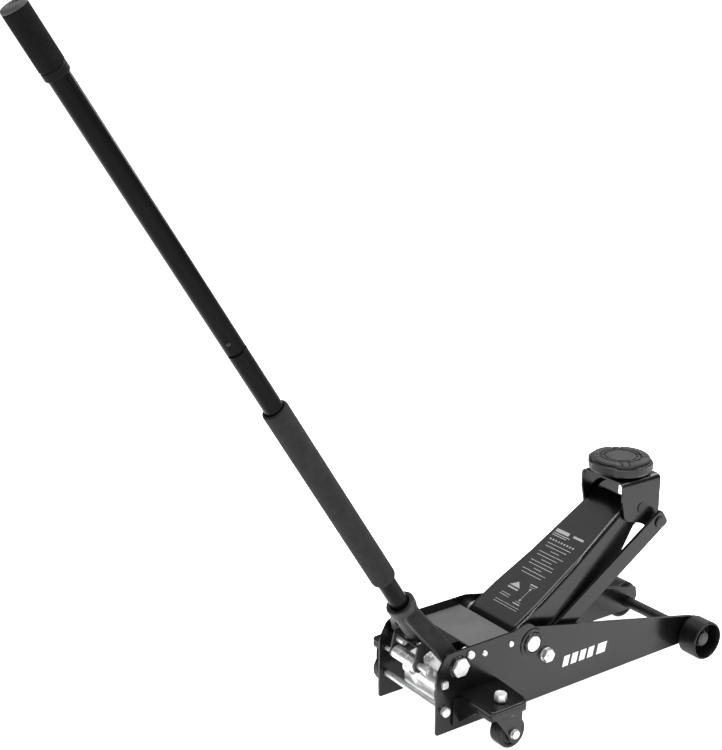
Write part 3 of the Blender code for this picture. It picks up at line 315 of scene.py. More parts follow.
def rounded(corners, arc_steps=8):
    """An outline from (x, y, corner radius) points."""
    outline = []
    count = len(corners)
    for i, (x, y, radius) in enumerate(corners):
        here = Vector((x, y))
        if radius <= 0:
            outline.append((x, y))
            continue
        back = (Vector(corners[i - 1][:2]) - here).normalized()
        ahead = (Vector(corners[(i + 1) % count][:2]) - here).normalized()
        half = acos(max(-1.0, min(1.0, back.dot(ahead)))) / 2
        reach = radius / tan(half)
        centre = here + (back + ahead).normalized() * (radius / sin(half))
        start = here + back * reach - centre
        end = here + ahead * reach - centre
        first = atan2(start.y, start.x)
        sweep = (atan2(end.y, end.x) - first + pi) % (2 * pi) - pi
        for k in range(arc_steps + 1):
            turn = first + sweep * k / arc_steps
            outline.append((centre.x + radius * cos(turn), centre.y + radius * sin(turn)))
    return outline


def area_of(loop):
    return sum(a[0] * b[1] - b[0] * a[1] for a, b in zip(loop, loop[1:] + loop[:1])) / 2


def plate(outline, low, high, plane="XZ", holes=()):
    """A flat plate from an outline with holes, between two levels square to its plane."""
    to_space = {
        "XZ": lambda p, h: Vector((p[0], h, p[1])),
        "XY": lambda p, h: Vector((p[0], p[1], h)),
        "YZ": lambda p, h: Vector((h, p[0], p[1])),
    }[plane]
    loops = [list(outline)] + [list(hole) for hole in holes]
    for i, loop in enumerate(loops):
        if (area_of(loop) > 0) != (i == 0):
            loop.reverse()
    flat = [point for loop in loops for point in loop]
    count = len(flat)
    points = [to_space(p, low) for p in flat] + [to_space(p, high) for p in flat]
    faces = []
    for a, b, c in tessellate_polygon([[Vector((*p, 0)) for p in loop] for loop in loops]):
        if area_of([flat[a], flat[b], flat[c]]) < 0:
            a, c = c, a
        faces.append((a, c, b))
        faces.append((a + count, b + count, c + count))
    start = 0
    for loop in loops:
        for k in range(len(loop)):
            a = start + k
            b = start + (k + 1) % len(loop)
            faces.append((a, b, b + count, a + count))
        start += len(loop)
    return points, faces


def bore(spot, radius, steps):
    """The outline of a running bore for a pin of a given radius."""
    return [(spot[0] + a, spot[1] + b) for a, b in circle(radius + RUNNING, steps)]


def flat_bolt(centre, axis, shank, length, across, head, sides=6):
    """A bolt along an axis: its shank ends at 0 and its flat-sided head stands beyond."""
    steps = 2 * sides
    return stack(centre, axis, [
        (circle(shank - 0.6, steps), -length),
        (circle(shank, steps), -length + 0.6),
        (circle(shank, steps), GAP),
        (polygon_ring(across, sides, steps), GAP),
        (polygon_ring(across, sides, steps), GAP + head - 1.2),
        (circle(across / 2 * 0.94, steps), GAP + head),
    ])


def dome_bolt(centre, axis, shank, length, radius, height):
    """A round-headed screw along an axis."""
    profile = [(shank - 0.5, -length), (shank, -length + 0.5), (shank, GAP), (radius, GAP)]
    for share, rise in ((0.97, 0.3), (0.83, 0.68), (0.55, 0.92), (0.2, 1.0)):
        profile.append((radius * share, GAP + height * rise))
    return lathe(centre, axis, profile, 12)


def xz(point, y=0.0):
    return (point[0], y, point[1])


PRINT_SUNK = 0.05
PRINT_RAISED = 0.12


def printed(patches, lift):
    """Thin printed patches: each is a loop of points on a surface, raised along a direction."""
    points, faces = [], []
    rise = Vector(lift)
    for patch in patches:
        first = len(points)
        count = len(patch)
        if (patch[1] - patch[0]).cross(patch[2] - patch[1]).dot(rise) < 0:
            patch = patch[::-1]
        points += [p - rise * PRINT_SUNK for p in patch] + [p + rise * PRINT_RAISED for p in patch]
        faces.append(tuple(first + k for k in reversed(range(count))))
        faces.append(tuple(first + count + k for k in range(count)))
        for k in range(count):
            m = (k + 1) % count
            faces.append((first + k, first + m, first + count + m, first + count + k))
    return points, faces


# --- Frame ---

PLATE_FRONT = (22.0, 65.0)  # where the sloping top edge meets the front end
SHOULDER_X = -398.0
SHOULDER_Z = 160.5
CREST = (
    (-397.0, 161.4, 6.0), (-403.5, 167.4, 4.0), (-411.0, 171.2, 6.0), (-420.0, 171.8, 8.0),
    (-431.0, 169.0, 8.0), (-444.0, 165.6, 6.0),
)
SHOULDER = ((-402.0, 161.6, 12.0), (-419.0, PLATE_TOP, 20.0))


def plate_outline(crest):
    """A side plate's outline, with the points where its top edge turns down to the front."""
    return rounded([
        (PLATE_REAR, PLATE_BOTTOM, 3.0), (8.0, PLATE_BOTTOM, 22.0), (26.0, 42.0, 14.0),
        (*PLATE_FRONT, 7.0), *crest, (-594.0, PLATE_TOP, 16.0), (PLATE_REAR, 131.0, 30.0),
    ])


TIE_ROD = (-597.0, 63.0)
SQUARE_STUD = (-598.0, 112.0)
STOP_SCREW = (-542.0, 151.0)
COVER_SCREWS = ((-511.0, 144.5), (-452.0, 144.5))
SEAT = 2.2
LIP_REAR = -330.0
LIP_FRONT = 10.0
LIP_TOP = 0.4  # below the plate's top edge
LIP_BOTTOM = 4.4
TOP_SLOPE = (PLATE_FRONT[1] - SHOULDER_Z) / (PLATE_FRONT[0] - SHOULDER_X)


def top_edge(x):
    """The height of a side plate's sloping top edge."""
    return SHOULDER_Z + TOP_SLOPE * (x - SHOULDER_X)


def frame_plate(side, name):
    holes = [bore(*row) for row in (
        (ARM_PIVOT, PIVOT_RADIUS, 16), (LINK_BASE, LINK_PIN_RADIUS, 24),
        (SOCKET_PIVOT, SOCKET_BOLT_RADIUS, 24), ((0.0, AXLE_Z), AXLE_RADIUS, 16),
        (TIE_ROD, 6.0, 12), (COVER_SCREWS[0], 3.0, 12), (COVER_SCREWS[1], 3.0, 12),
        (STOP_SCREW, 5.0, 12), (SQUARE_STUD, 4.0, 8),
    )]
    outline = plate_outline(CREST if side < 0 else SHOULDER)
    slab = plate(outline, *span(side, PLATE_IN, PLATE_OUT), "XZ", holes)
    obj = make(name, slab, "gloss_black")
    boss = [
        (16.4, -2.0), (16.4, 4.6), (19.4, 4.6), (20.6, 3.4), (21.0, 2.0), (BOSS_RADIUS - 1.2, 1.8),
        (BOSS_RADIUS, 0.8), (BOSS_RADIUS, -2.0),
    ]
    add(obj, lathe(xz(ARM_PIVOT, side * PLATE_OUT), (0, side, 0), boss, 24, True))
    seat = [(12.0, -2.0), (12.0, SEAT), (18.4, SEAT), (20.0, 0.8), (20.0, -2.0)]
    add(obj, lathe(xz(SOCKET_PIVOT, side * PLATE_OUT), (0, side, 0), seat, 16, True))
    lip = [(x, top_edge(x) - drop) for x, drop in (
        (LIP_REAR, LIP_BOTTOM), (LIP_REAR, LIP_TOP), (LIP_FRONT, LIP_TOP), (LIP_FRONT, LIP_BOTTOM),
    )]
    add(obj, plate(lip, *span(side, PLATE_IN - 5.0, PLATE_IN + 1.0)))


for side, word in SIDES:
    frame_plate(side, f"side_plate_{word}")

BARS = ((-329.0, 14.0), (-309.0, 14.0), (-289.0, 14.0), (-269.0, 14.0), (-246.0, 22.0))
BAR_LOW = 62.5
BAR_HIGH = 82.5
BAR_SLANT = 5.0
for side, word in SIDES:
    patches = []
    for start, width in BARS:
        patches.append([Vector((x, side * PLATE_OUT, z)) for x, z in (
            (start, BAR_LOW), (start + width, BAR_LOW),
            (start + width + BAR_SLANT, BAR_HIGH), (start + BAR_SLANT, BAR_HIGH),
        )])
    make(f"side_mark_{word}", printed(
        patches, (0, side, 0)), "print_white", nodes=[], body=BODY_OF[f"side_plate_{word}"])

make("rear_tie_rod", lathe(xz(TIE_ROD), ACROSS, mirrored([
    (6.0, PLATE_OUT + GAP), (8.4, PLATE_OUT + GAP), (8.4, PLATE_OUT + 8.0), (6.0, PLATE_OUT + 9.4),
]), 12), "zinc")

COVER_HALF = PLATE_IN - GAP
COVER = [(-523.0, -COVER_HALF), (-434.0, -COVER_HALF), (-434.0, COVER_HALF), (-523.0, COVER_HALF)]
make("cover_plate", plate(COVER, 148.0, 151.0, "XY"), "cover_grey", bevel=0.6)
for side, word in SIDES:
    for spot, end in zip(COVER_SCREWS, ("rear", "front")):
        make(f"cover_screw_{end}_{word}", dome_bolt(
            xz(spot, side * PLATE_OUT), (0, side, 0), 3.0, 11.0, 5.6, 3.2), "zinc")
    make(f"stop_screw_{word}", lathe(xz(STOP_SCREW, side * PLATE_OUT), (0, side, 0), [
        (6.6, -18.0), (7.6, -17.0), (7.6, -4.0 - GAP), (5.0, -4.0 - GAP), (5.0, GAP),
        (7.8, GAP), (7.8, 2.0), (6.6, 4.2), (2.0, 5.4),
    ], 12), "zinc")
    make(f"square_stud_{word}", flat_bolt(
        xz(SQUARE_STUD, side * PLATE_OUT), (0, side, 0), 4.0, 12.0, 11.5, 6.0, 4), "zinc")


# --- Front axle and wheels ---

AXLE_END = WHEEL_OUTER_Y - 11.5
make("front_axle", lathe((0, 0, AXLE_Z), ACROSS, mirrored([
    (AXLE_RADIUS, PLATE_OUT + GAP), (15.5, PLATE_OUT + GAP), (15.5, PLATE_OUT + 5.4),
    (AXLE_RADIUS, PLATE_OUT + 5.4), (AXLE_RADIUS, AXLE_END - 1.6), (9.4, AXLE_END),
]), 16), "satin_black")

WHEEL_PROFILE = [
    (AXLE_RADIUS + RUNNING, 0.0), (20.0, 0.0), (21.0, 2.2), (29.5, 2.2), (30.5, 0.6),
    (35.0, 0.6), (WHEEL_RADIUS, 2.6), (WHEEL_RADIUS, 38.6), (35.6, 41.0), (33.4, 41.0),
    (32.6, 38.0), (30.9, 33.6), (30.6, 16.0), (27.4, 14.8), (26.8, 17.0), (25.2, 17.0),
    (24.6, 14.8), (20.2, 14.6), (19.6, 16.6), (18.2, 16.6), (17.4, 14.5), (15.6, 26.0),
    (AXLE_RADIUS + RUNNING, 26.0),
]
for side, word in SIDES:
    make(f"front_wheel_{word}", lathe(
        (0, side * WHEEL_INNER_Y, AXLE_Z), (0, side, 0), WHEEL_PROFILE, 24, True), "wheel_black")
    make(f"wheel_cap_{word}", lathe((0, side * AXLE_END, AXLE_Z), (0, side, 0), [
        (13.4, GAP), (13.4, 1.1), (11.6, 2.2), (9.4, 2.4), (9.0, 3.2), (8.0, 3.6), (1.5, 3.7),
    ], 16), "hub_grey")


# --- Lift arm ---

ARM_SPAN = Vector((ARM_TIP[0] - ARM_PIVOT[0], 0.0, ARM_TIP[1] - ARM_PIVOT[1]))
ARM_LENGTH = ARM_SPAN.length
ALONG = ARM_SPAN.normalized()
UPWARD = Vector((-ALONG.z, 0.0, ALONG.x))
LEVER = (
    ARM_PIVOT[0] + LEVER_LENGTH * cos(radians(LEVER_ANGLE)),
    ARM_PIVOT[1] + LEVER_LENGTH * sin(radians(LEVER_ANGLE)),
)


def arm_point(s, y, n):
    return Vector(xz(ARM_PIVOT, y)) + ALONG * s + UPWARD * n


def blend_between(value, table):
    for (a, p), (b, q) in zip(table, table[1:]):
        if value <= b:
            return p + (q - p) * max(0.0, (value - a) / (b - a))
    return table[-1][1]


def arm_half(s):
    return blend_between(s, ((60.0, ARM_BASE_HALF), (300.0, ARM_TIP_HALF)))


def arm_top(s):
    if s < 0:
        return sqrt(max(0.0, BARREL_RADIUS**2 - s * s))
    if s > ARM_LENGTH:
        return sqrt(max(0.0, ARM_TOP**2 - (s - ARM_LENGTH) ** 2))
    return blend_between(s, ((0.0, BARREL_RADIUS), (150.0, ARM_TOP)))


EAR_RADIUS = 24.0
LOW_EDGE = (
    (-32.5, -8.0), (-31.5, -26.0), (-30.0, -44.0), (-26.0, -55.0), (-20.0, -60.0), (-12.0, -61.0),
    (185.0, -60.0), (215.0, -56.0), (249.0, -46.5), (308.0, -23.0), (ARM_LENGTH, -EAR_RADIUS),
)


def arm_low(s):
    if s > ARM_LENGTH:
        return -sqrt(max(0.0, EAR_RADIUS**2 - (s - ARM_LENGTH) ** 2))
    return blend_between(s, LOW_EDGE)


def hat_section(half, top, low, bend):
    """The outline of a bent sheet: two upright sides under a top with rounded bends."""
    ring = [(-half, low)]
    for sign, start in ((-1, pi), (1, pi / 2)):
        for k in range(4):
            turn = start - k * pi / 6
            ring.append((sign * (half - bend) + bend * cos(turn), top - bend + bend * sin(turn)))
    ring.append((half, low))
    return ring


def arm_section(s, half, top, low, bend):
    bend = min(bend, (top - low) / 3)
    return [arm_point(s, y, n) for y, n in hat_section(half, top, low, bend)]


ARM_STATIONS = (
    -32.5, -31.5, -30.0, -26.0, -20.0, -12.0, -6.0, 0.0, 30.0, 60.0, 100.0, 150.0, 185.0, 215.0,
    249.0, 280.0, 300.0, 308.0, 322.0, ARM_LENGTH, ARM_LENGTH + 8, ARM_LENGTH + 15,
    ARM_LENGTH + 20, ARM_LENGTH + 23.4,
)
arm = make("lift_arm", rings_solid([
    arm_section(s, arm_half(s), arm_top(s), arm_low(s), 9.0) for s in ARM_STATIONS
]), "gloss_black")
cut(arm, rings_solid([
    arm_section(s, arm_half(s) - ARM_SHEET, top, -90.0, 5.0)
    for s, top in (
        (-27.0, 4.0), (-24.0, 14.0), (-16.0, 22.8), (-6.0, 27.2), (0.0, 28.0), (60.0, 24.8),
        (150.0, 20.0), (300.0, 20.0), (325.0, 20.0), (325.5, 60.0), (390.0, 60.0),
    )
]))
cut(arm, plate([
    (-460.0, 40.0), (-386.0, 40.0), (-386.0, 100.0), (-412.0, 121.0), (-460.0, 121.0),
], -ARM_BASE_HALF + ARM_SHEET, ARM_BASE_HALF - ARM_SHEET))
for spot, radius, steps in (
    (ARM_PIVOT, PIVOT_RADIUS, 24), (LEVER, LEVER_RADIUS, 16), (ARM_TIP, TIP_RADIUS, 24),
):
    cut(arm, rod(xz(spot), ACROSS, radius + RUNNING, -90, 90, steps, 0.1))


def label_patch(*spots):
    """A patch of the arm's label, by (along, across) points on its top."""
    return [arm_point(s, y, arm_top(s)) for s, y in spots]


def label_bar(s0, s1, y0, y1):
    """A rectangle of the label, from s0 to s1 along the arm and y0 to y1 across it."""
    return label_patch((s0, y0), (s1, y0), (s1, y1), (s0, y1))


# Plain bars stand for the heading, the row of boxes and the lines of small print
DASH_PITCH = 7.4
LINE_PITCH = 7.6
LABEL = [
    label_bar(204.5, 212.0, 40.0, 6.0), label_bar(206.5, 211.0, -5.0, -31.0),
    label_bar(199.8, 201.6, 40.0, -2.0), label_bar(195.6, 197.4, 40.0, 4.0),
]
LABEL += [
    label_bar(184.6, 188.2, 37.0 - DASH_PITCH * k, 33.2 - DASH_PITCH * k) for k in range(9)
]
for k, (left, right) in enumerate((
    (35.0, -27.0), (33.0, -22.0), (12.0, -10.0), (36.0, -28.0), (34.0, -20.0), (14.0, -12.0),
    (35.0, -25.0), (33.0, -28.0), (12.0, -8.0), (35.0, -26.0), (30.0, -22.0),
)):
    LABEL.append(label_bar(176.8 - LINE_PITCH * k, 178.1 - LINE_PITCH * k, left, right))
# A triangle over a bar, two short lines, the double arrow's stem and ends, and two long lines
LABEL += [label_bar(*edges) for edges in (
    (60.0, 63.4, 26.0, 0.0), (41.0, 42.4, 28.0, 4.0), (46.0, 47.4, 28.0, 4.0),
    (48.0, 73.0, -20.6, -21.6), (83.4, 85.8, -12.0, -30.0), (79.4, 80.4, -14.0, -28.0),
    (40.8, 41.8, -14.0, -28.0), (35.4, 37.8, -12.0, -30.0), (28.6, 29.6, 27.0, -35.0),
    (23.4, 24.4, 27.0, -35.0),
)]
LABEL.append(label_patch((66.5, 26.0), (66.5, 0.0), (79.0, 13.0)))
for tip, tail in ((78.6, 73.0), (42.8, 48.4)):
    LABEL.append(label_patch((tip, -21.1), (tail, -18.4), (tail, -23.8)))
make("arm_label", printed(LABEL, UPWARD), "print_grey", nodes=[], body=BODY_OF["lift_arm"])

make("arm_pivot_shaft", lathe(xz(ARM_PIVOT), ACROSS, mirrored([
    (PIVOT_RADIUS, ARM_BASE_HALF + GAP), (17.0, ARM_BASE_HALF + GAP), (17.0, PLATE_IN - GAP),
    (PIVOT_RADIUS, PLATE_IN - GAP), (PIVOT_RADIUS, PLATE_OUT + GAP), (14.5, PLATE_OUT + GAP),
    (14.5, PLATE_OUT + 4.6), (12.6, PLATE_OUT + 6.0),
]), 16), "zinc")
make("lever_pin", lathe(
    xz(LEVER), ACROSS, mirrored([(LEVER_RADIUS, 62.3), (8.0, 63.3)]), 16), "zinc")


# --- Saddle bracket, saddle and radius links ---

outer = hat_section(BRACKET_OUT, BRACKET_TOP, 250.0, 9.0)
inner = hat_section(BRACKET_IN, BRACKET_TOP - BRACKET_SHEET, 250.0, 5.0)
bracket = make("saddle_bracket", plate(
    outer + inner[::-1], BRACKET_REAR, BRACKET_FRONT, "YZ"), "gloss_black")
CHEEK = rounded([
    (BRACKET_REAR - 20.0, 400.0, 0), (BRACKET_FRONT + 20.0, 400.0, 0),
    (BRACKET_FRONT + 20.0, 340.0, 0), (BRACKET_FRONT - 0.4, 336.0, 0),
    (BRACKET_FRONT - 0.4, 261.0, 13.0), (-92.0, 263.0, 14.0), (-116.0, 278.5, 8.0),
    (-152.0, 290.0, 12.0), (BRACKET_REAR + 7.0, 298.0, 8.0), (BRACKET_REAR + 0.4, 330.0, 0),
    (BRACKET_REAR - 20.0, 336.0, 0),
])
combine(bracket, plate(CHEEK, -70.0, 70.0), "INTERSECT")
cut(bracket, rod((SADDLE_X, 0, 0), UP, STEM_RADIUS + RUNNING, 340, 380, 16))
for spot, radius in ((ARM_TIP, TIP_RADIUS), (LINK_TIP, LINK_PIN_RADIUS)):
    cut(bracket, rod(xz(spot), ACROSS, radius + RUNNING, -70, 70, 16, 0.1))

make("arm_tip_pin", lathe(xz(ARM_TIP), ACROSS, mirrored([
    (TIP_RADIUS, BRACKET_OUT + GAP), (9.8, BRACKET_OUT + GAP), (9.8, BRACKET_OUT + 1.0),
    (9.2, BRACKET_OUT + 1.5),
]), 16), "satin_black")

CUP_FLOOR = 370.0
LUG_TOP = 391.5
RIM_TOP = 388.0
LUG_COUNT = 4
LUG_HALF = radians(27.0)
LUG_TURN = radians(10.0)
PAD_CUT_TURN = radians(55.0)
PAD_BLOCK = 7.0  # half the width of the raised block between two cuts


def turned(centre, profile_at, steps):
    """Turns an open profile that changes with the angle about +Z."""
    loops = [profile_at(2 * pi * k / steps) for k in range(steps)]
    rings = []
    for i in range(len(loops[0])):
        ring = []
        for k, loop in enumerate(loops):
            turn = 2 * pi * k / steps
            r, z = loop[i]
            ring.append((centre[0] + r * cos(turn), centre[1] + r * sin(turn), z))
        rings.append(ring)
    return rings_solid(rings)


def lug_share(turn):
    sector = 2 * pi / LUG_COUNT
    offset = abs((turn + sector / 2) % sector - sector / 2)
    return max(0.0, min(1.0, (LUG_HALF - offset) / radians(5.0) + 0.5))


def cup_profile(turn):
    """The saddle cup: a stem riveted over below the bracket, a floor and a notched rim."""
    share = lug_share(turn - LUG_TURN)
    top = RIM_TOP + (LUG_TOP - RIM_TOP) * share
    outer_r = CUP_RADIUS - 1.6 * (1 - share)
    under = BRACKET_TOP - BRACKET_SHEET - GAP
    return [
        (8.4, under - 14.0), (9.6, under - 12.8), (9.6, under - 5.0), (17.0, under - 4.4),
        (17.0, under), (STEM_RADIUS, under), (STEM_RADIUS, BRACKET_TOP + GAP),
        (22.0, BRACKET_TOP + GAP), (22.0, CUP_FLOOR), (50.0, CUP_FLOOR),
        (57.0, CUP_FLOOR + 2.4), (outer_r, CUP_FLOOR + 8.0), (outer_r, top - 1.6),
        (outer_r - 1.8, top), (55.6, top), (PAD_RADIUS + 0.4, top - 1.4),
        (PAD_RADIUS + 0.4, CUP_FLOOR + 6.0),
    ]


def groove(offset, width):
    """How deep a rounded groove is at a distance from its middle, from 0 to 1."""
    return max(0.0, 1.0 - abs(offset) / width) ** 0.5


PAD_RINGS = (
    (53.2, -1.4), (52.4, -0.4), (50.6, 0.0), (46.0, 0.0), (41.0, 0.0), (38.8, 0.0), (38.1, -3.0),
    (36.2, -3.0), (35.5, 0.0), (33.0, 0.0), (31.4, 0.0), (30.7, -3.0), (28.6, -3.0), (27.9, -0.2),
    (24.0, -0.2), (17.0, -0.3), (9.0, -0.4), (1.0, -0.4),
)


def pad_profile(turn):
    """The pad: a rim with shallow gaps, cut across between its raised blocks."""
    share = lug_share(turn - LUG_TURN)
    sector = 2 * pi / LUG_COUNT
    offset = (turn - PAD_CUT_TURN + sector / 2) % sector - sector / 2
    loop = [(PAD_RADIUS - 1.0, CUP_FLOOR + 6.3), (PAD_RADIUS, CUP_FLOOR + 8.0)]
    loop.append((PAD_RADIUS, SADDLE_TOP - 2.4 - 0.8 * (1 - share)))
    for r, drop in PAD_RINGS:
        fall = drop
        slot = max(groove(offset * r + edge, 1.8) for edge in (-PAD_BLOCK, PAD_BLOCK))
        if r > 27.9:
            fall = min(fall, -3.0 * slot)
        if r > 38.0:
            fall -= 0.8 * (1 - share)
        if 30.0 < r < 36.0 and abs(offset) * r < PAD_BLOCK:
            fall = min(fall, -1.2)
        loop.append((r, SADDLE_TOP + fall))
    return loop


SADDLE_CENTRE = (SADDLE_X, 0.0, CUP_FLOOR)
make("saddle_cup", turned(SADDLE_CENTRE, cup_profile, 192), "satin_black")
make("saddle_pad", turned(SADDLE_CENTRE, pad_profile, 384), "rubber")

LINK_LINE = Vector((LINK_TIP[0] - LINK_BASE[0], LINK_TIP[1] - LINK_BASE[1])).normalized()
LINK_SIDE = Vector((-LINK_LINE.y, LINK_LINE.x))


def link_corner(end, along, across, radius):
    spot = Vector(end) + LINK_LINE * along + LINK_SIDE * across
    return (spot.x, spot.y, radius)


LINK_OUTLINE = rounded([
    link_corner(LINK_BASE, -17.0, -LINK_HALF_WIDTH, 7.0),
    link_corner(LINK_TIP, 17.0, -LINK_HALF_WIDTH, 6.5),
    link_corner(LINK_TIP, 17.0, LINK_HALF_WIDTH, 6.5),
    link_corner(LINK_BASE, -17.0, LINK_HALF_WIDTH, 7.0),
])
for side, word in SIDES:
    holes = [bore(LINK_BASE, LINK_PIN_RADIUS, 24), bore(LINK_TIP, LINK_PIN_RADIUS, 16)]
    make(f"radius_link_{word}", plate(
        LINK_OUTLINE, *span(side, LINK_IN, LINK_OUT), "XZ", holes), "gloss_black", bevel=0.8)
    make(f"link_pin_{word}", lathe(xz(LINK_TIP), (0, side, 0), [
        (8.4, BRACKET_IN - 3.0), (9.6, BRACKET_IN - 2.2), (9.6, BRACKET_IN - GAP),
        (LINK_PIN_RADIUS, BRACKET_IN - GAP), (LINK_PIN_RADIUS, BRACKET_OUT + GAP),
        (11.5, BRACKET_OUT + GAP), (11.5, LINK_IN - GAP), (LINK_PIN_RADIUS, LINK_IN - GAP),
        (LINK_PIN_RADIUS, LINK_OUT + GAP), (10.6, LINK_OUT + GAP), (10.6, LINK_OUT + 2.2),
        (9.0, LINK_OUT + 3.4),
    ], 16), "satin_black")
    bolt = [
        (disc(7.2), LINK_IN + GAP), (disc(LINK_PIN_RADIUS), LINK_IN + 1.1),
        (disc(LINK_PIN_RADIUS), LINK_OUT + GAP), (disc(13.0), LINK_OUT + GAP),
        (disc(13.0), PLATE_IN - GAP), (disc(LINK_PIN_RADIUS), PLATE_IN - GAP),
        (disc(LINK_PIN_RADIUS), PLATE_OUT + GAP), (disc(12.8), PLATE_OUT + GAP),
        (disc(12.8), PLATE_OUT + 2.0), (hexagon(22.0), PLATE_OUT + 2.0),
        (hexagon(22.0), PLATE_OUT + 11.0), (disc(10.2), PLATE_OUT + 12.4),
        (disc(6.6), PLATE_OUT + 12.4), (disc(6.4), PLATE_OUT + 14.6),
    ]
    make(f"link_bolt_{word}", stack(xz(LINK_BASE), (0, side, 0), bolt), "zinc")


# --- Hydraulic unit ---

PLUNGER_RADIUS = 5.0
PUMP_LEAN = radians(26.6)
PUMP_DOWN = Vector((sin(PUMP_LEAN), 0.0, -cos(PUMP_LEAN)))
ROLLER_POINT = Vector(xz(ROLLER_CENTRE))
PLUNGER_FACE = ROLLER_RADIUS + 0.7
POCKET = 31.4
PUMP_BACK = -586.0
PUMP_LOW = 58.0
DRUM_AT = (-588.0, 99.0)
DRUM_RADIUS = 13.0
unit = make("power_unit", plate(rounded([
    (PUMP_BACK, PUMP_LOW, 6.0), (CYLINDER_REAR, PUMP_LOW, 4.0), (CYLINDER_REAR, 122.0, 3.0),
    (-579.0, 114.0, 3.0), (PUMP_BACK, 104.0, 4.0),
]), -42.0, 42.0), "zinc")
add(unit, rod(xz(DRUM_AT), ACROSS, DRUM_RADIUS, -60, 30, 24, 1.6))
add(unit, rod(ROLLER_POINT, PUMP_DOWN, 8.6, POCKET + 0.6, 64.0, 16, 1.0))
cut(unit, rod(ROLLER_POINT, PUMP_DOWN, 9.8, 5.0, POCKET, 16, 0.1))
cut(unit, rod(ROLLER_POINT, PUMP_DOWN, PLUNGER_RADIUS + RUNNING, 5.0, 61.6, 16))
cut(unit, rod(xz(SOCKET_PIVOT), UP, 6.0, -36, 0, 12))

make("pump_plunger", lathe(ROLLER_POINT, PUMP_DOWN, [
    (8.0, PLUNGER_FACE), (9.3, PLUNGER_FACE + 0.8), (9.3, PLUNGER_FACE + 3.0),
    (PLUNGER_RADIUS, PLUNGER_FACE + 3.0), (PLUNGER_RADIUS, 45.4), (4.2, 46.2),
], 16), "zinc")

make("hydraulic_cylinder", lathe((0, 0, CYLINDER_Z), (1, 0, 0), [
    (28.0, CYLINDER_REAR + GAP), (CYLINDER_RADIUS, CYLINDER_REAR + GAP),
    (CYLINDER_RADIUS, CYLINDER_FRONT - 12.0), (31.5, CYLINDER_FRONT - 9.0),
    (31.5, CYLINDER_FRONT - 2.0), (29.5, CYLINDER_FRONT), (14.0 + RUNNING, CYLINDER_FRONT),
    (14.0 + RUNNING, CYLINDER_REAR + 12.0),
], 24), "satin_black")
RAM_FACE = LEVER[0] - LEVER_RADIUS - 1.2
make("ram_rod", lathe((0, 0, CYLINDER_Z), (1, 0, 0), [
    (12.6, CYLINDER_FRONT - 20.0), (14.0, CYLINDER_FRONT - 18.6), (14.0, RAM_FACE - 8.0),
    (19.0, RAM_FACE - 8.0), (19.0, RAM_FACE - 1.2), (17.8, RAM_FACE),
], 24), "zinc")

# --- Handle socket ---

HANDLE_AXIS = Vector((-sin(radians(HANDLE_LEAN)), 0.0, cos(radians(HANDLE_LEAN))))
HANDLE_FRONT = Vector((HANDLE_AXIS.z, 0.0, -HANDLE_AXIS.x))
PIVOT_POINT = Vector(xz(SOCKET_PIVOT))


def handle_point(t, front=0.0, y=0.0):
    return PIVOT_POINT + HANDLE_AXIS * t + HANDLE_FRONT * front + Vector((0, y, 0))


def on_handle(profile, steps=24, closed=False):
    """A piece turned about the handle's axis."""
    return lathe(PIVOT_POINT, HANDLE_AXIS, profile, steps, closed)


EYE_IN = 60.5
EYE_OUT = 74.5


def socket_arm(side):
    """One fork arm, from beside the sleeve down to the pivot eye."""
    rings = []
    for t, inner_y, outer_y, half in (
        (112.0, 4.0, 22.0, 12.0), (100.0, 8.0, 27.0, 15.5), (60.0, 33.0, 52.0, 16.5),
        (30.0, 52.0, 68.0, 16.5), (12.0, EYE_IN, EYE_OUT, 16.0), (0.0, EYE_IN, EYE_OUT, 15.5),
    ):
        ring = rounded([
            (-half, inner_y, 3.0), (half, inner_y, 3.0),
            (half, outer_y, 4.0), (-half, outer_y, 4.0),
        ], 5)
        rings.append([handle_point(t, a, side * b) for a, b in ring])
    return rings_solid(rings)


socket = make("handle_socket", on_handle([
    (20.5, 30.0), (22.3, 32.0), (22.6, 104.0), (25.5, 107.0), (25.8, COLLAR_TOP - 2.0),
    (24.6, COLLAR_TOP),
], 24), "cast_grey")
for side in (1, -1):
    add(socket, socket_arm(side))
    add(socket, rod(PIVOT_POINT, ACROSS, 18.5, *span(side, EYE_IN, EYE_OUT + 1.0), 24, 1.2))
cut(socket, on_handle([
    (TUBE_RADIUS + 0.2, 33.0), (TUBE_RADIUS + 0.2, COLLAR_TOP - 2.4),
    (TUBE_RADIUS + 2.8, COLLAR_TOP + 0.4), (TUBE_RADIUS + 2.8, COLLAR_TOP + 9.0),
], 24))
cut(socket, rod(PIVOT_POINT, HANDLE_AXIS, 7.0, 20, 60, 12))
cut(socket, rod(
    PIVOT_POINT, ACROSS, SOCKET_BOLT_RADIUS + RUNNING, -90, 90, 24))

SCREW_AT = 38.0
SCREW_AXIS = (Vector((0, -1, 0)) - HANDLE_FRONT).normalized()
cut(socket, rod(handle_point(SCREW_AT), SCREW_AXIS, 4.15, 14, 40, 12))
make("socket_screw", flat_bolt(
    handle_point(SCREW_AT) + SCREW_AXIS * 22.5, SCREW_AXIS, 4.0, 5.6, 9.5, 4.0), "zinc")

CHEEK_IN = 31.5
CHEEK_OUT = 35.5
STUD_AT = (-606.5, 153.0)
CHEEK_HOLE = bore(ROLLER_CENTRE, 6.0, 16)
STUD_HOLE = bore(STUD_AT, 4.0, 12)


def cheek_corner(t, front, radius):
    spot = handle_point(t, front)
    return (spot.x, spot.z, radius)


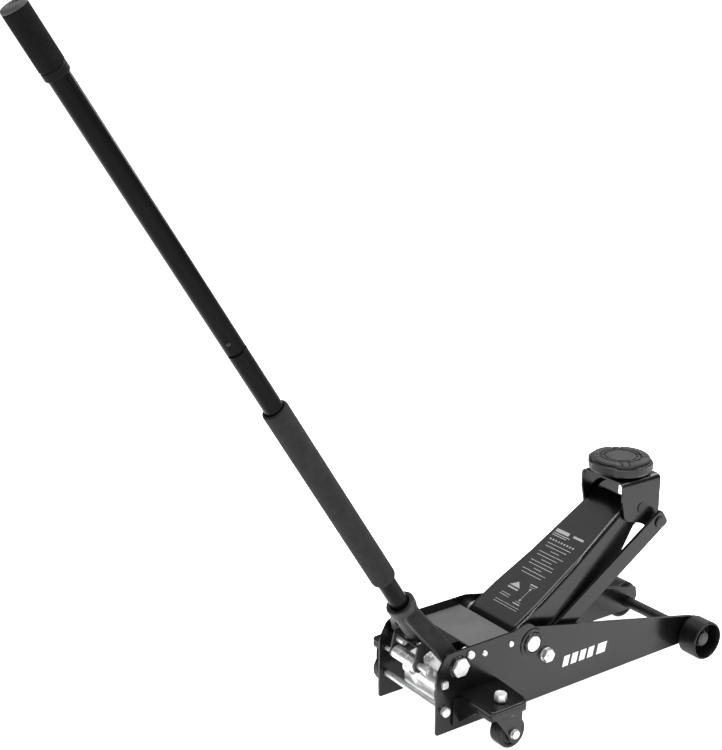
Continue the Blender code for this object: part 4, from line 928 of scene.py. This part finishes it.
CHEEK_OUTLINE = rounded([
    (-627.0, 118.5, 11.0), (-603.5, 118.5, 9.0), (-604.5, 146.0, 3.0),
    cheek_corner(25.0, 4.0, 3.0), cheek_corner(43.0, 4.0, 4.0), cheek_corner(53.0, -25.5, 6.0),
])
strap = make("roller_bracket", plate(
    CHEEK_OUTLINE, -CHEEK_OUT, -CHEEK_IN, "XZ", [CHEEK_HOLE]), "strap_grey")
add(strap, plate(
    CHEEK_OUTLINE, CHEEK_IN, CHEEK_OUT, "XZ", [CHEEK_HOLE, STUD_HOLE]))
for web in (
    ((25.0, -8.0), (25.0, 4.0), (29.6, 4.0), (29.6, -8.0)),
    ((45.0, -26.8), (45.0, -23.2), (50.0, -23.2), (50.0, -26.8)),
):
    spots = [handle_point(t, f) for t, f in web]
    add(strap, plate([(p.x, p.z) for p in spots], -CHEEK_IN - 1, CHEEK_IN + 1))
cut(strap, rod(PIVOT_POINT, HANDLE_AXIS, 6.6, 5, 60, 12))

roller_profile = [(6.0 + RUNNING, -ROLLER_HALF + 1.0), (7.2, -ROLLER_HALF)]
for low, high in ((-ROLLER_HALF, -10.4), (-9.6, 9.6), (10.4, ROLLER_HALF)):
    roller_profile += [
        (ROLLER_RADIUS - 0.9, low), (ROLLER_RADIUS, low + 0.9),
        (ROLLER_RADIUS, high - 0.9), (ROLLER_RADIUS - 0.9, high),
    ]
roller_profile += [(7.2, ROLLER_HALF), (6.0 + RUNNING, ROLLER_HALF - 1.0)]
make("pump_roller", lathe(
    xz(ROLLER_CENTRE), ACROSS, roller_profile, 16, True), "zinc")
make("roller_pin", lathe(xz(ROLLER_CENTRE), ACROSS, [
    (4.0, -64.0), (4.0, -62.5), (8.2, -62.5), (8.2, -56.0), (6.0, -56.0), (6.0, 40.0), (5.2, 40.8),
], 12), "zinc")
make("anchor_stud", lathe(xz(STUD_AT), ACROSS, [
    (5.8, 14.5), (7.0, 15.6), (7.0, CHEEK_IN - GAP), (4.0, CHEEK_IN - GAP), (4.0, CHEEK_OUT + GAP),
    (6.4, CHEEK_OUT + GAP), (6.4, CHEEK_OUT + 3.0), (5.2, CHEEK_OUT + 4.0),
], 12), "zinc")

for side, word in SIDES:
    make(f"socket_bolt_{word}", flat_bolt(
        xz(SOCKET_PIVOT, side * (PLATE_OUT + SEAT)), (0, side, 0), SOCKET_BOLT_RADIUS, 26.2,
        30.0, 6.5), "zinc")


# --- Release drive: a ball end on the handle turns a cup on the valve spindle ---

DRIVER_RADIUS = 4.6
CUP_BORE = BALL_RADIUS + 0.4
make("release_driver", on_handle(arc(BALL_RADIUS, -82.0, 18.7, 8) + [
    (DRIVER_RADIUS, 5.6), (DRIVER_RADIUS, TUBE_START + 2.0), (12.4, TUBE_START + 2.6),
    (13.5, TUBE_START + 3.6), (13.5, 46.0), (12.5, 47.0),
], 16), "zinc")

make("release_valve", lathe(PIVOT_POINT, UP, [
    (4.4, -34.0), (5.2, -33.0), (5.2, -17.0), (9.0, -13.0), (10.2, -9.0), (10.2, -4.6),
    (9.4, -3.6), (7.2, -3.2), *arc(CUP_BORE, -26.0, -17.0, 4),
], 16), "zinc")

# --- Handle ---

NECK_END = JOINT_RING + 50.0
NECK_RADIUS = 13.6
lower_tube = make("lower_tube", on_handle([
    (13.8, TUBE_START + 0.5), (14.3, TUBE_START), (TUBE_RADIUS - 0.6, TUBE_START),
    (TUBE_RADIUS, TUBE_START + 0.6), (TUBE_RADIUS, JOINT_RING - 2.0),
    (TUBE_RADIUS - 1.0, JOINT_RING - 1.0), (NECK_RADIUS, JOINT_RING - 1.0),
    (NECK_RADIUS, NECK_END - 1.0), (NECK_RADIUS - 0.6, NECK_END), (11.6, NECK_END),
    (11.6, JOINT_RING - 12.0), (13.8, JOINT_RING - 16.0),
], 24, True), "tube_black")
BUTTON_TURN = radians(34.0)
BUTTON_AXIS = (
    HANDLE_FRONT * -sin(BUTTON_TURN) + Vector((0, -cos(BUTTON_TURN), 0))
).normalized()
BUTTON_POINT = handle_point(BUTTON_AT)
cut(lower_tube, rod(BUTTON_POINT, BUTTON_AXIS, 3.75, 6, 30, 24, 0.1))
upper_tube = make("upper_tube", on_handle([
    (NECK_RADIUS + GAP, JOINT_RING + 1.6), (NECK_RADIUS + GAP + 0.4, JOINT_RING + 1.2),
    (TUBE_RADIUS - 0.9, JOINT_RING + 1.2), (TUBE_RADIUS, JOINT_RING + 2.2),
    (TUBE_RADIUS, GRIP_END - 6.6), (TUBE_RADIUS - 0.6, GRIP_END - 6.0),
    (NECK_RADIUS + GAP, GRIP_END - 6.0),
], 24, True), "tube_black")
cut(upper_tube, rod(BUTTON_POINT, BUTTON_AXIS, 3.75, 6, 30, 24, 0.1))
make("detent_button", lathe(BUTTON_POINT, BUTTON_AXIS, [
    (4.8, 8.6), (4.8, 10.0), (3.5, 10.0), (3.5, 16.6), (3.2, 17.6), (2.4, 18.4), (1.2, 18.8),
], 12), "satin_black")

make("foam_sleeve", on_handle([
    (TUBE_RADIUS + RUNNING, SLEEVE_START + 3.0), (TUBE_RADIUS + 1.4, SLEEVE_START),
    (TUBE_RADIUS + 3.4, SLEEVE_START), (SLEEVE_RADIUS - 0.7, SLEEVE_START + 2.6),
    (SLEEVE_RADIUS, SLEEVE_START + 6.0), (SLEEVE_RADIUS, SLEEVE_END - 4.0),
    (SLEEVE_RADIUS - 0.6, SLEEVE_END - 1.4), (SLEEVE_RADIUS - 2.4, SLEEVE_END),
    (TUBE_RADIUS + 1.0, SLEEVE_END), (TUBE_RADIUS + RUNNING, SLEEVE_END - 2.0),
], 24, True), "foam")

GRIP_U, GRIP_V, _ = basis(HANDLE_AXIS)
GRIP_STEPS = 216
GRIP_RIDGES = 36
KNURL_ROWS = 150
KNURL_PITCH = 0.8  # turn of the ridges' phase per millimetre
KNURL_DEPTH = 0.55
KNURL_START = GRIP_START + 15.2
KNURL_END = GRIP_END - 7.0


def grip_ring(radius, t, relief=0.0):
    """One ring of the grip, with its diamond knurl cut to a depth of relief."""
    ring = []
    for k in range(GRIP_STEPS):
        turn = 2 * pi * k / GRIP_STEPS
        a = abs(sin(GRIP_RIDGES * turn / 2 + t * KNURL_PITCH))
        b = abs(sin(GRIP_RIDGES * turn / 2 - t * KNURL_PITCH))
        r = radius - relief * (1.0 - min(1.0, 1.6 * a)) - relief * (1.0 - min(1.0, 1.6 * b))
        ring.append(GRIP_U * (r * cos(turn)) + GRIP_V * (r * sin(turn)) + handle_point(t))
    return ring


grip_rings = [
    grip_ring(radius, t) for radius, t in (
        (TUBE_RADIUS + RUNNING, GRIP_END - 6.0), (TUBE_RADIUS + RUNNING, GRIP_START + 0.8),
        (TUBE_RADIUS + 0.8, GRIP_START), (GRIP_RADIUS - 1.6, GRIP_START),
        (GRIP_RADIUS - 0.4, GRIP_START + 1.6), (GRIP_RADIUS - 0.4, GRIP_START + 12.0),
        (GRIP_RADIUS - 1.5, GRIP_START + 12.8), (GRIP_RADIUS - 1.5, GRIP_START + 14.4),
    )
]
for k in range(KNURL_ROWS + 1):
    t = KNURL_START + (KNURL_END - KNURL_START) * k / KNURL_ROWS
    grip_rings.append(grip_ring(GRIP_RADIUS, t, KNURL_DEPTH))
grip_rings.append(grip_ring(GRIP_RADIUS - 0.9, GRIP_END - 6.0))
make("handle_grip", rings_solid(grip_rings, True), "grip_black", angle=50.0)
make("grip_cap", on_handle([
    (12.8, GRIP_END - 24.0), (NECK_RADIUS, GRIP_END - 23.0), (NECK_RADIUS, GRIP_END - 6.0 + GAP),
    (GRIP_RADIUS, GRIP_END - 6.0 + GAP), (GRIP_RADIUS, GRIP_END - 3.0),
    (GRIP_RADIUS - 0.8, GRIP_END - 1.0), (GRIP_RADIUS - 3.0, GRIP_END),
    (9.0, GRIP_END), (8.0, GRIP_END - 0.8),
], 24), "cap_grey")

# --- Casters ---

SHELF_CORNERS = (
    (-477.0, 0.0, 0.0), (-482.5, 72.0, 9.0), (-487.5, 86.3, 10.0), (-566.0, 86.3, 8.0),
    (-566.0, 0.0, 0.0),
)
SHELF_BASE = PLATE_OUT + GAP


def shelf_outline(side, inset, base=0.0):
    """The shelf's plan, pulled in on its three free sides, with its root at a base distance."""
    corners = []
    for x, out, radius in SHELF_CORNERS:
        pull = inset if x < -520 else -inset
        reach = out - inset if out > 80 else out
        if inset and out == 0.0:
            reach = base
        corners.append((x + pull, side * (SHELF_BASE + reach), max(radius - inset, 0.0)))
    return rounded(corners)


FORK_IN = CASTER_WIDTH / 2 + 0.7
FORK_OUT = FORK_IN + 3.0
SHELF_WALL = 3.4
SHELF_LOW = SHELF_TOP - SHELF_SHEET
FLANGE_LOW = 70.0
CROWN_LOW = 65.4
CROWN_TOP = FLANGE_LOW - 0.6
FORK_LEG = rounded([
    (-550.5, 68.0, 0), (-491.5, 68.0, 0), (-491.0, 9.0, 15.0), (-514.0, 9.0, 10.0),
    (-522.0, 27.0, 5.0),
], 2)
for side, word in SIDES:
    axle_spot = (SWIVEL[0] - side * CASTER_TRAIL, CASTER_RADIUS)
    leg = FORK_LEG if side < 0 else [(2 * SWIVEL[0] - x, z) for x, z in reversed(FORK_LEG)]
    loops = []
    for pull, z in (
        (0.5, FLANGE_LOW), (0.0, FLANGE_LOW + 0.5), (0.0, 77.4), (0.9, 78.4), (0.9, 79.6),
        (0.0, 80.6), (0.0, 83.6), (0.5, 85.2), (1.6, 86.6), (3.2, SHELF_TOP),
    ):
        loops.append([Vector((x, y, z)) for x, y in shelf_outline(side, pull)])
    shelf = make(f"caster_bracket_{word}", rings_solid(loops), "gloss_black")
    cut(shelf, plate(shelf_outline(side, SHELF_WALL, -5.0), 60.0, SHELF_LOW, "XY"))
    gusset = [(SHELF_BASE, 31.0), (SHELF_BASE, 80.0), (SHELF_BASE + 60.0, 80.0),
              (SHELF_BASE + 60.0, 71.0), (SHELF_BASE + 47.2, 71.0)]
    add(shelf, plate([(side * a, b) for a, b in gusset], -566.05, -562.55, "YZ"))
    foot = [(-580.0, 31.0), (-580.0, 80.0), (-482.0, 80.0), (-482.0, 60.0), (-558.0, 31.0)]
    add(shelf, plate(foot, *span(side, SHELF_BASE, SHELF_BASE + SHELF_WALL)))
    king = (SWIVEL[0], side * SWIVEL[1], 0.0)
    cut(shelf, rod(king, UP, 6.0 + RUNNING, 60, 100, 12, 0.1))

    fork = make(f"caster_fork_{word}", lathe(king, UP, [
        (6.0 + RUNNING, CROWN_LOW), (23.4, CROWN_LOW), (24.2, CROWN_LOW + 0.8), (24.2, CROWN_TOP),
        (18.0, CROWN_TOP), (18.0, SHELF_LOW - GAP), (6.0 + RUNNING, SHELF_LOW - GAP),
    ], 20, True), "gloss_black")
    for sign in (1, -1):
        low, high = sorted((king[1] + sign * FORK_IN, king[1] + sign * FORK_OUT))
        add(fork, plate(
            leg, low, high, "XZ", [bore(axle_spot, 4.0, 12)]))
    hub = xz(axle_spot, king[1])
    make(f"caster_wheel_{word}", lathe(hub, ACROSS, mirrored([
        (CASTER_RADIUS, 10.0), (28.0, 12.0), (26.6, 13.2), (22.5, 13.2), (20.0, 11.0),
        (9.0, 11.6), (8.0, 13.0), (4.0 + RUNNING, 13.0),
    ]), 20, True), "caster_black")
    axle = [
        (disc(5.6), -FORK_OUT - 4.6), (hexagon(11.5), -FORK_OUT - 3.8),
        (hexagon(11.5), -FORK_OUT - GAP), (disc(4.0), -FORK_OUT - GAP),
        (disc(4.0), FORK_OUT + GAP), (disc(8.6), FORK_OUT + GAP),
        (disc(8.6), FORK_OUT + 1.2), (hexagon(14.6), FORK_OUT + 1.2),
        (hexagon(14.6), FORK_OUT + 5.6), (disc(7.0), FORK_OUT + 6.6),
    ]
    make(f"caster_axle_{word}", stack(hub, (0, side, 0), axle), "zinc")
    bolt = [
        (disc(5.4), 58.4), (disc(6.0), 59.0), (disc(6.0), 60.0),
        (hexagon(17.0), 60.0), (hexagon(17.0), CROWN_LOW - GAP),
        (disc(6.0), CROWN_LOW - GAP), (disc(6.0), SHELF_TOP + 2.5),
        (hexagon(19.0), SHELF_TOP + 2.5), (hexagon(19.0), SHELF_TOP + 13.4),
        (disc(9.3), SHELF_TOP + 14.8), (disc(6.6), SHELF_TOP + 14.8),
        (disc(5.6), SHELF_TOP + 13.9),
    ]
    washer_low = SHELF_TOP + GAP
    washer_top = SHELF_TOP + 2.4
    make(f"caster_washer_{word}", lathe(king, UP, [
        (6.1, washer_low + 0.4), (6.5, washer_low), (11.6, washer_low), (12.0, washer_low + 0.4),
        (12.0, washer_top - 0.4), (11.6, washer_top), (6.5, washer_top), (6.1, washer_top - 0.4),
    ], 12, True), "satin_black", nodes=[], body=BODY_OF[f"caster_bolt_{word}"])
    make(f"caster_bolt_{word}", stack(king, UP, bolt), "zinc")


# --- Materials ---

RANGE_KEYS = ("From Min", "From Max", "To Min", "To Max")


class Shader:
    """A node material in the making: Principled BSDF plus small helpers."""

    def __init__(self, name, colour, roughness, metallic=0.0):
        self.material = bpy.data.materials.new(name)
        self.material.use_nodes = True
        self.nodes = self.material.node_tree.nodes
        self.links = self.material.node_tree.links
        self.bsdf = self.nodes["Principled BSDF"]
        self.bsdf.inputs["Base Color"].default_value = (*colour, 1.0)
        self.bsdf.inputs["Roughness"].default_value = roughness
        self.bsdf.inputs["Metallic"].default_value = metallic
        self.material.diffuse_color = (*colour, 1.0)
        self.coords = self.nodes.new("ShaderNodeTexCoord").outputs["Object"]
        self.height = None

    def set(self, **values):
        for key, value in values.items():
            self.bsdf.inputs[key.replace("_", " ")].default_value = value

    def noise(self, scale, detail):
        texture = self.nodes.new("ShaderNodeTexNoise")
        texture.inputs["Scale"].default_value = scale
        texture.inputs["Detail"].default_value = detail
        texture.inputs["Roughness"].default_value = 0.55
        self.links.new(self.coords, texture.inputs["Vector"])
        return texture.outputs["Fac"]

    def cells(self, scale):
        texture = self.nodes.new("ShaderNodeTexVoronoi")
        texture.inputs["Scale"].default_value = scale
        self.links.new(self.coords, texture.inputs["Vector"])
        return texture.outputs["Distance"]

    def remap(self, value, low, high, to_low, to_high):
        node = self.nodes.new("ShaderNodeMapRange")
        for key, number in zip(RANGE_KEYS, (low, high, to_low, to_high)):
            node.inputs[key].default_value = number
        self.links.new(value, node.inputs["Value"])
        return node.outputs["Result"]

    def colour_mix(self, factor, first, second):
        node = self.nodes.new("ShaderNodeMix")
        node.data_type = "RGBA"
        self.links.new(factor, node.inputs["Factor"])
        node.inputs["A"].default_value = (*first, 1.0)
        node.inputs["B"].default_value = (*second, 1.0)
        return node.outputs["Result"]

    def drift(self, texture, low, high, dark, light):
        """Lets the base colour wander between two tones."""
        factor = self.remap(texture, low, high, 0.0, 1.0)
        self.links.new(self.colour_mix(factor, dark, light), self.bsdf.inputs["Base Color"])

    def rough(self, texture, low, high):
        """Lets the roughness wander between two values."""
        self.links.new(self.remap(texture, 0.3, 0.7, low, high), self.bsdf.inputs["Roughness"])

    def bump(self, height, strength, distance):
        node = self.nodes.new("ShaderNodeBump")
        node.inputs["Strength"].default_value = strength
        node.inputs["Distance"].default_value = distance
        self.links.new(height, node.inputs["Height"])
        if self.height is not None:
            self.links.new(self.height, node.inputs["Normal"])
        self.height = node.outputs["Normal"]
        self.links.new(self.height, self.bsdf.inputs["Normal"])


def paint(name, dark, light, rough_low, rough_high, shine=0.5):
    """Sprayed paint: slight colour drift, orange peel, and a roughness that wanders."""
    shader = Shader(name, dark, rough_low)
    shader.drift(shader.noise(9.0, 4.0), 0.35, 0.65, dark, light)
    shader.rough(shader.noise(38.0, 5.0), rough_low, rough_high)
    shader.bump(shader.noise(520.0, 2.0), 0.16, 0.000042)
    shader.bump(shader.noise(60.0, 2.0), 0.1, 0.00012)
    shader.set(Specular_IOR_Level=shine)
    return shader.material


def plated(name, dark, light, rough_low, rough_high):
    """Zinc-plated or turned steel with fine tool marks."""
    shader = Shader(name, light, rough_low, 0.72)
    blotch = shader.noise(70.0, 5.0)
    shader.drift(blotch, 0.3, 0.7, dark, light)
    fine = shader.noise(900.0, 3.0)
    shader.rough(fine, rough_low, rough_high)
    shader.bump(fine, 0.25, 0.00003)
    shader.bump(blotch, 0.1, 0.00012)
    return shader.material


def casting(name, dark, light):
    """Painted sand casting: coarse skin under thin paint."""
    shader = Shader(name, dark, 0.45)
    grain = shader.noise(330.0, 4.0)
    shader.drift(grain, 0.35, 0.7, dark, light)
    shader.rough(shader.noise(55.0, 4.0), 0.34, 0.52)
    shader.bump(grain, 0.35, 0.00012)
    shader.bump(shader.noise(48.0, 3.0), 0.3, 0.0004)
    return shader.material


def soft(name, dark, light, cell, depth, roughness, shine=0.35):
    """Rubber or foam skin with a fine cellular surface."""
    shader = Shader(name, dark, roughness)
    shader.drift(shader.noise(26.0, 5.0), 0.3, 0.7, dark, light)
    shader.rough(shader.noise(80.0, 3.0), roughness - 0.06, roughness + 0.06)
    shader.bump(shader.cells(cell), 0.5, depth)
    shader.bump(shader.noise(150.0, 3.0), 0.25, depth)
    shader.set(Specular_IOR_Level=shine)
    return shader.material


def grey(level, blue):
    """A grey with its own share of blue."""
    return level, level, blue


MATERIAL = {name: build(name, *values) for name, build, *values in (
    ("gloss_black", paint, grey(0.0075, 0.008), grey(0.011, 0.0115), 0.17, 0.25, 0.44),
    ("tube_black", paint, grey(0.004, 0.0042), grey(0.006, 0.0062), 0.2, 0.28, 0.12),
    ("satin_black", paint, grey(0.010, 0.0105), grey(0.016, 0.0165), 0.38, 0.5),
    ("cast_grey", casting, grey(0.012, 0.0125), grey(0.022, 0.023)),
    ("strap_grey", casting, grey(0.035, 0.036), grey(0.06, 0.062)),
    ("hub_grey", paint, grey(0.05, 0.052), grey(0.065, 0.067), 0.45, 0.55),
    ("cover_grey", paint, grey(0.10, 0.102), grey(0.12, 0.122), 0.42, 0.52),
    ("zinc", plated, (0.66, 0.665, 0.67), (0.86, 0.862, 0.865), 0.34, 0.48),
    ("rubber", soft, grey(0.034, 0.0345), grey(0.052, 0.053), 1100.0, 0.0001, 0.6),
    ("foam", soft, grey(0.016, 0.0165), grey(0.024, 0.025), 1500.0, 0.00025, 0.78),
    ("grip_black", soft, grey(0.006, 0.0062), grey(0.010, 0.0102), 1300.0, 0.00008, 0.5, 0.12),
    ("cap_grey", soft, grey(0.05, 0.052), grey(0.07, 0.072), 1300.0, 0.00008, 0.5),
    ("wheel_black", paint, grey(0.006, 0.0062), grey(0.010, 0.0102), 0.34, 0.46, 0.35),
    ("caster_black", soft, grey(0.014, 0.0145), grey(0.02, 0.021), 700.0, 0.00005, 0.42),
    ("print_white", paint, grey(0.72, 0.72), grey(0.78, 0.78), 0.4, 0.5),
    ("print_grey", paint, grey(0.30, 0.30), grey(0.36, 0.36), 0.4, 0.5),
)}

# --- Finish every piece ---

WELD_DISTANCE = 0.000004
BEVEL_FROM = radians(35)


def finish_piece(piece):
    obj = piece["obj"]
    if piece["bevel"]:
        rounding = obj.modifiers.new("rounding", "BEVEL")
        rounding.width = piece["bevel"] * MM
        rounding.segments = 3
        rounding.limit_method = "ANGLE"
        rounding.angle_limit = BEVEL_FROM
        rounding.use_clamp_overlap = True
    weld = obj.modifiers.new("weld", "WELD")
    weld.merge_threshold = WELD_DISTANCE
    settle(obj)
    obj.data.shade_smooth()
    obj.data.set_sharp_from_angle(angle=radians(piece["angle"]))
    weighted = obj.modifiers.new("weighted", "WEIGHTED_NORMAL")
    weighted.keep_sharp = True
    weighted.weight = 80
    settle(obj)
    obj.data.materials.clear()
    obj.data.materials.append(MATERIAL[piece["key"]])
    nodes = piece["nodes"]
    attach(obj, piece["body"] or BODY_OF[nodes[0]])
    if nodes:
        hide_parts(*nodes)


for piece in PIECES:
    finish_piece(piece)


# --- Floor, light and camera ---

FLOOR_HALF = 30.0
FLOOR_Z = -0.0003
floor_mesh = bpy.data.meshes.new("studio_floor")
floor_mesh.from_pydata([
    (FLOOR_HALF * a, FLOOR_HALF * b, FLOOR_Z) for a, b in ((-1, -1), (1, -1), (1, 1), (-1, 1))
], [], [(0, 1, 2, 3)])
floor = new_object("studio_floor", floor_mesh)
floor_shader = Shader("studio_floor", (0.8, 0.8, 0.8), 0.9)
floor_shader.set(
    Specular_IOR_Level=0.1, Emission_Color=(1.0, 1.0, 1.0, 1.0), Emission_Strength=0.8)
floor.data.materials.append(floor_shader.material)

# The sky is bright at the horizon, which blends it into the floor, and dim above it
world = bpy.data.worlds.new("studio")
world.use_nodes = True
sky = world.node_tree.nodes
sky_links = world.node_tree.links
sky["Background"].inputs["Color"].default_value = (1.0, 1.0, 1.0, 1.0)
direction = sky.new("ShaderNodeSeparateXYZ")
fade = sky.new("ShaderNodeMapRange")
fade.interpolation_type = "SMOOTHSTEP"
for key, number in zip(RANGE_KEYS, (0.0, 0.12, 1.05, 0.15)):
    fade.inputs[key].default_value = number
sky_links.new(sky.new("ShaderNodeTexCoord").outputs["Generated"], direction.inputs["Vector"])
sky_links.new(direction.outputs["Z"], fade.inputs["Value"])
sky_links.new(fade.outputs["Result"], sky["Background"].inputs["Strength"])
bpy.context.scene.world = world
bpy.context.scene.view_settings.view_transform = "Standard"
bpy.context.scene.view_settings.look = "Medium High Contrast"


def look(obj, spot, direction):
    obj.location = spot
    obj.rotation_euler = Vector(direction).to_track_quat("-Z", "Y").to_euler()


sun_data = bpy.data.lights.new("sun", "SUN")
sun_data.energy = 0.7
sun_data.angle = radians(30.0)
sun = new_object("sun", sun_data)
sun.rotation_euler = (radians(-12.0), radians(14.0), 0.0)

for name, spot, target, size, power in (
    ("top", (0.3, 0.2, 3.8), (0.1, 0.0, 0.2), (2.6, 2.0), 80.0),
    ("rim", (3.0, 1.4, 2.2), (0.2, 0.0, 0.3), (1.2, 1.8), 25.0),
    ("near", (-2.8, -3.0, 3.2), (0.0, 0.0, 0.3), (1.6, 1.2), 20.0),
    ("front", (2.0, -1.5, 2.3), (0.0, -0.1, 0.1), (1.0, 0.5), 24.0),
    ("edge", (0.2, -2.5, 3.0), (0.3, 0.0, 0.3), (1.6, 0.35), 36.0),
    ("back", (0.1, 2.6, 3.0), (0.3, 0.0, 0.3), (2.4, 1.4), 11.0),
):
    softbox = bpy.data.lights.new(name, "AREA")
    softbox.shape = "RECTANGLE"
    softbox.size, softbox.size_y = size
    softbox.energy = power
    look(new_object(name, softbox), spot, Vector(target) - Vector(spot))

camera_data = bpy.data.cameras.new("camera")
camera_data.lens = 68.27
camera_data.sensor_width = 36.0
camera_data.sensor_fit = "AUTO"
camera_data.clip_end = 100.0
camera = new_object("camera", camera_data)
look(camera, (-1.3269, -1.7489, 1.2833), (0.5509, 0.7848, -0.2838))
bpy.context.scene.camera = camera
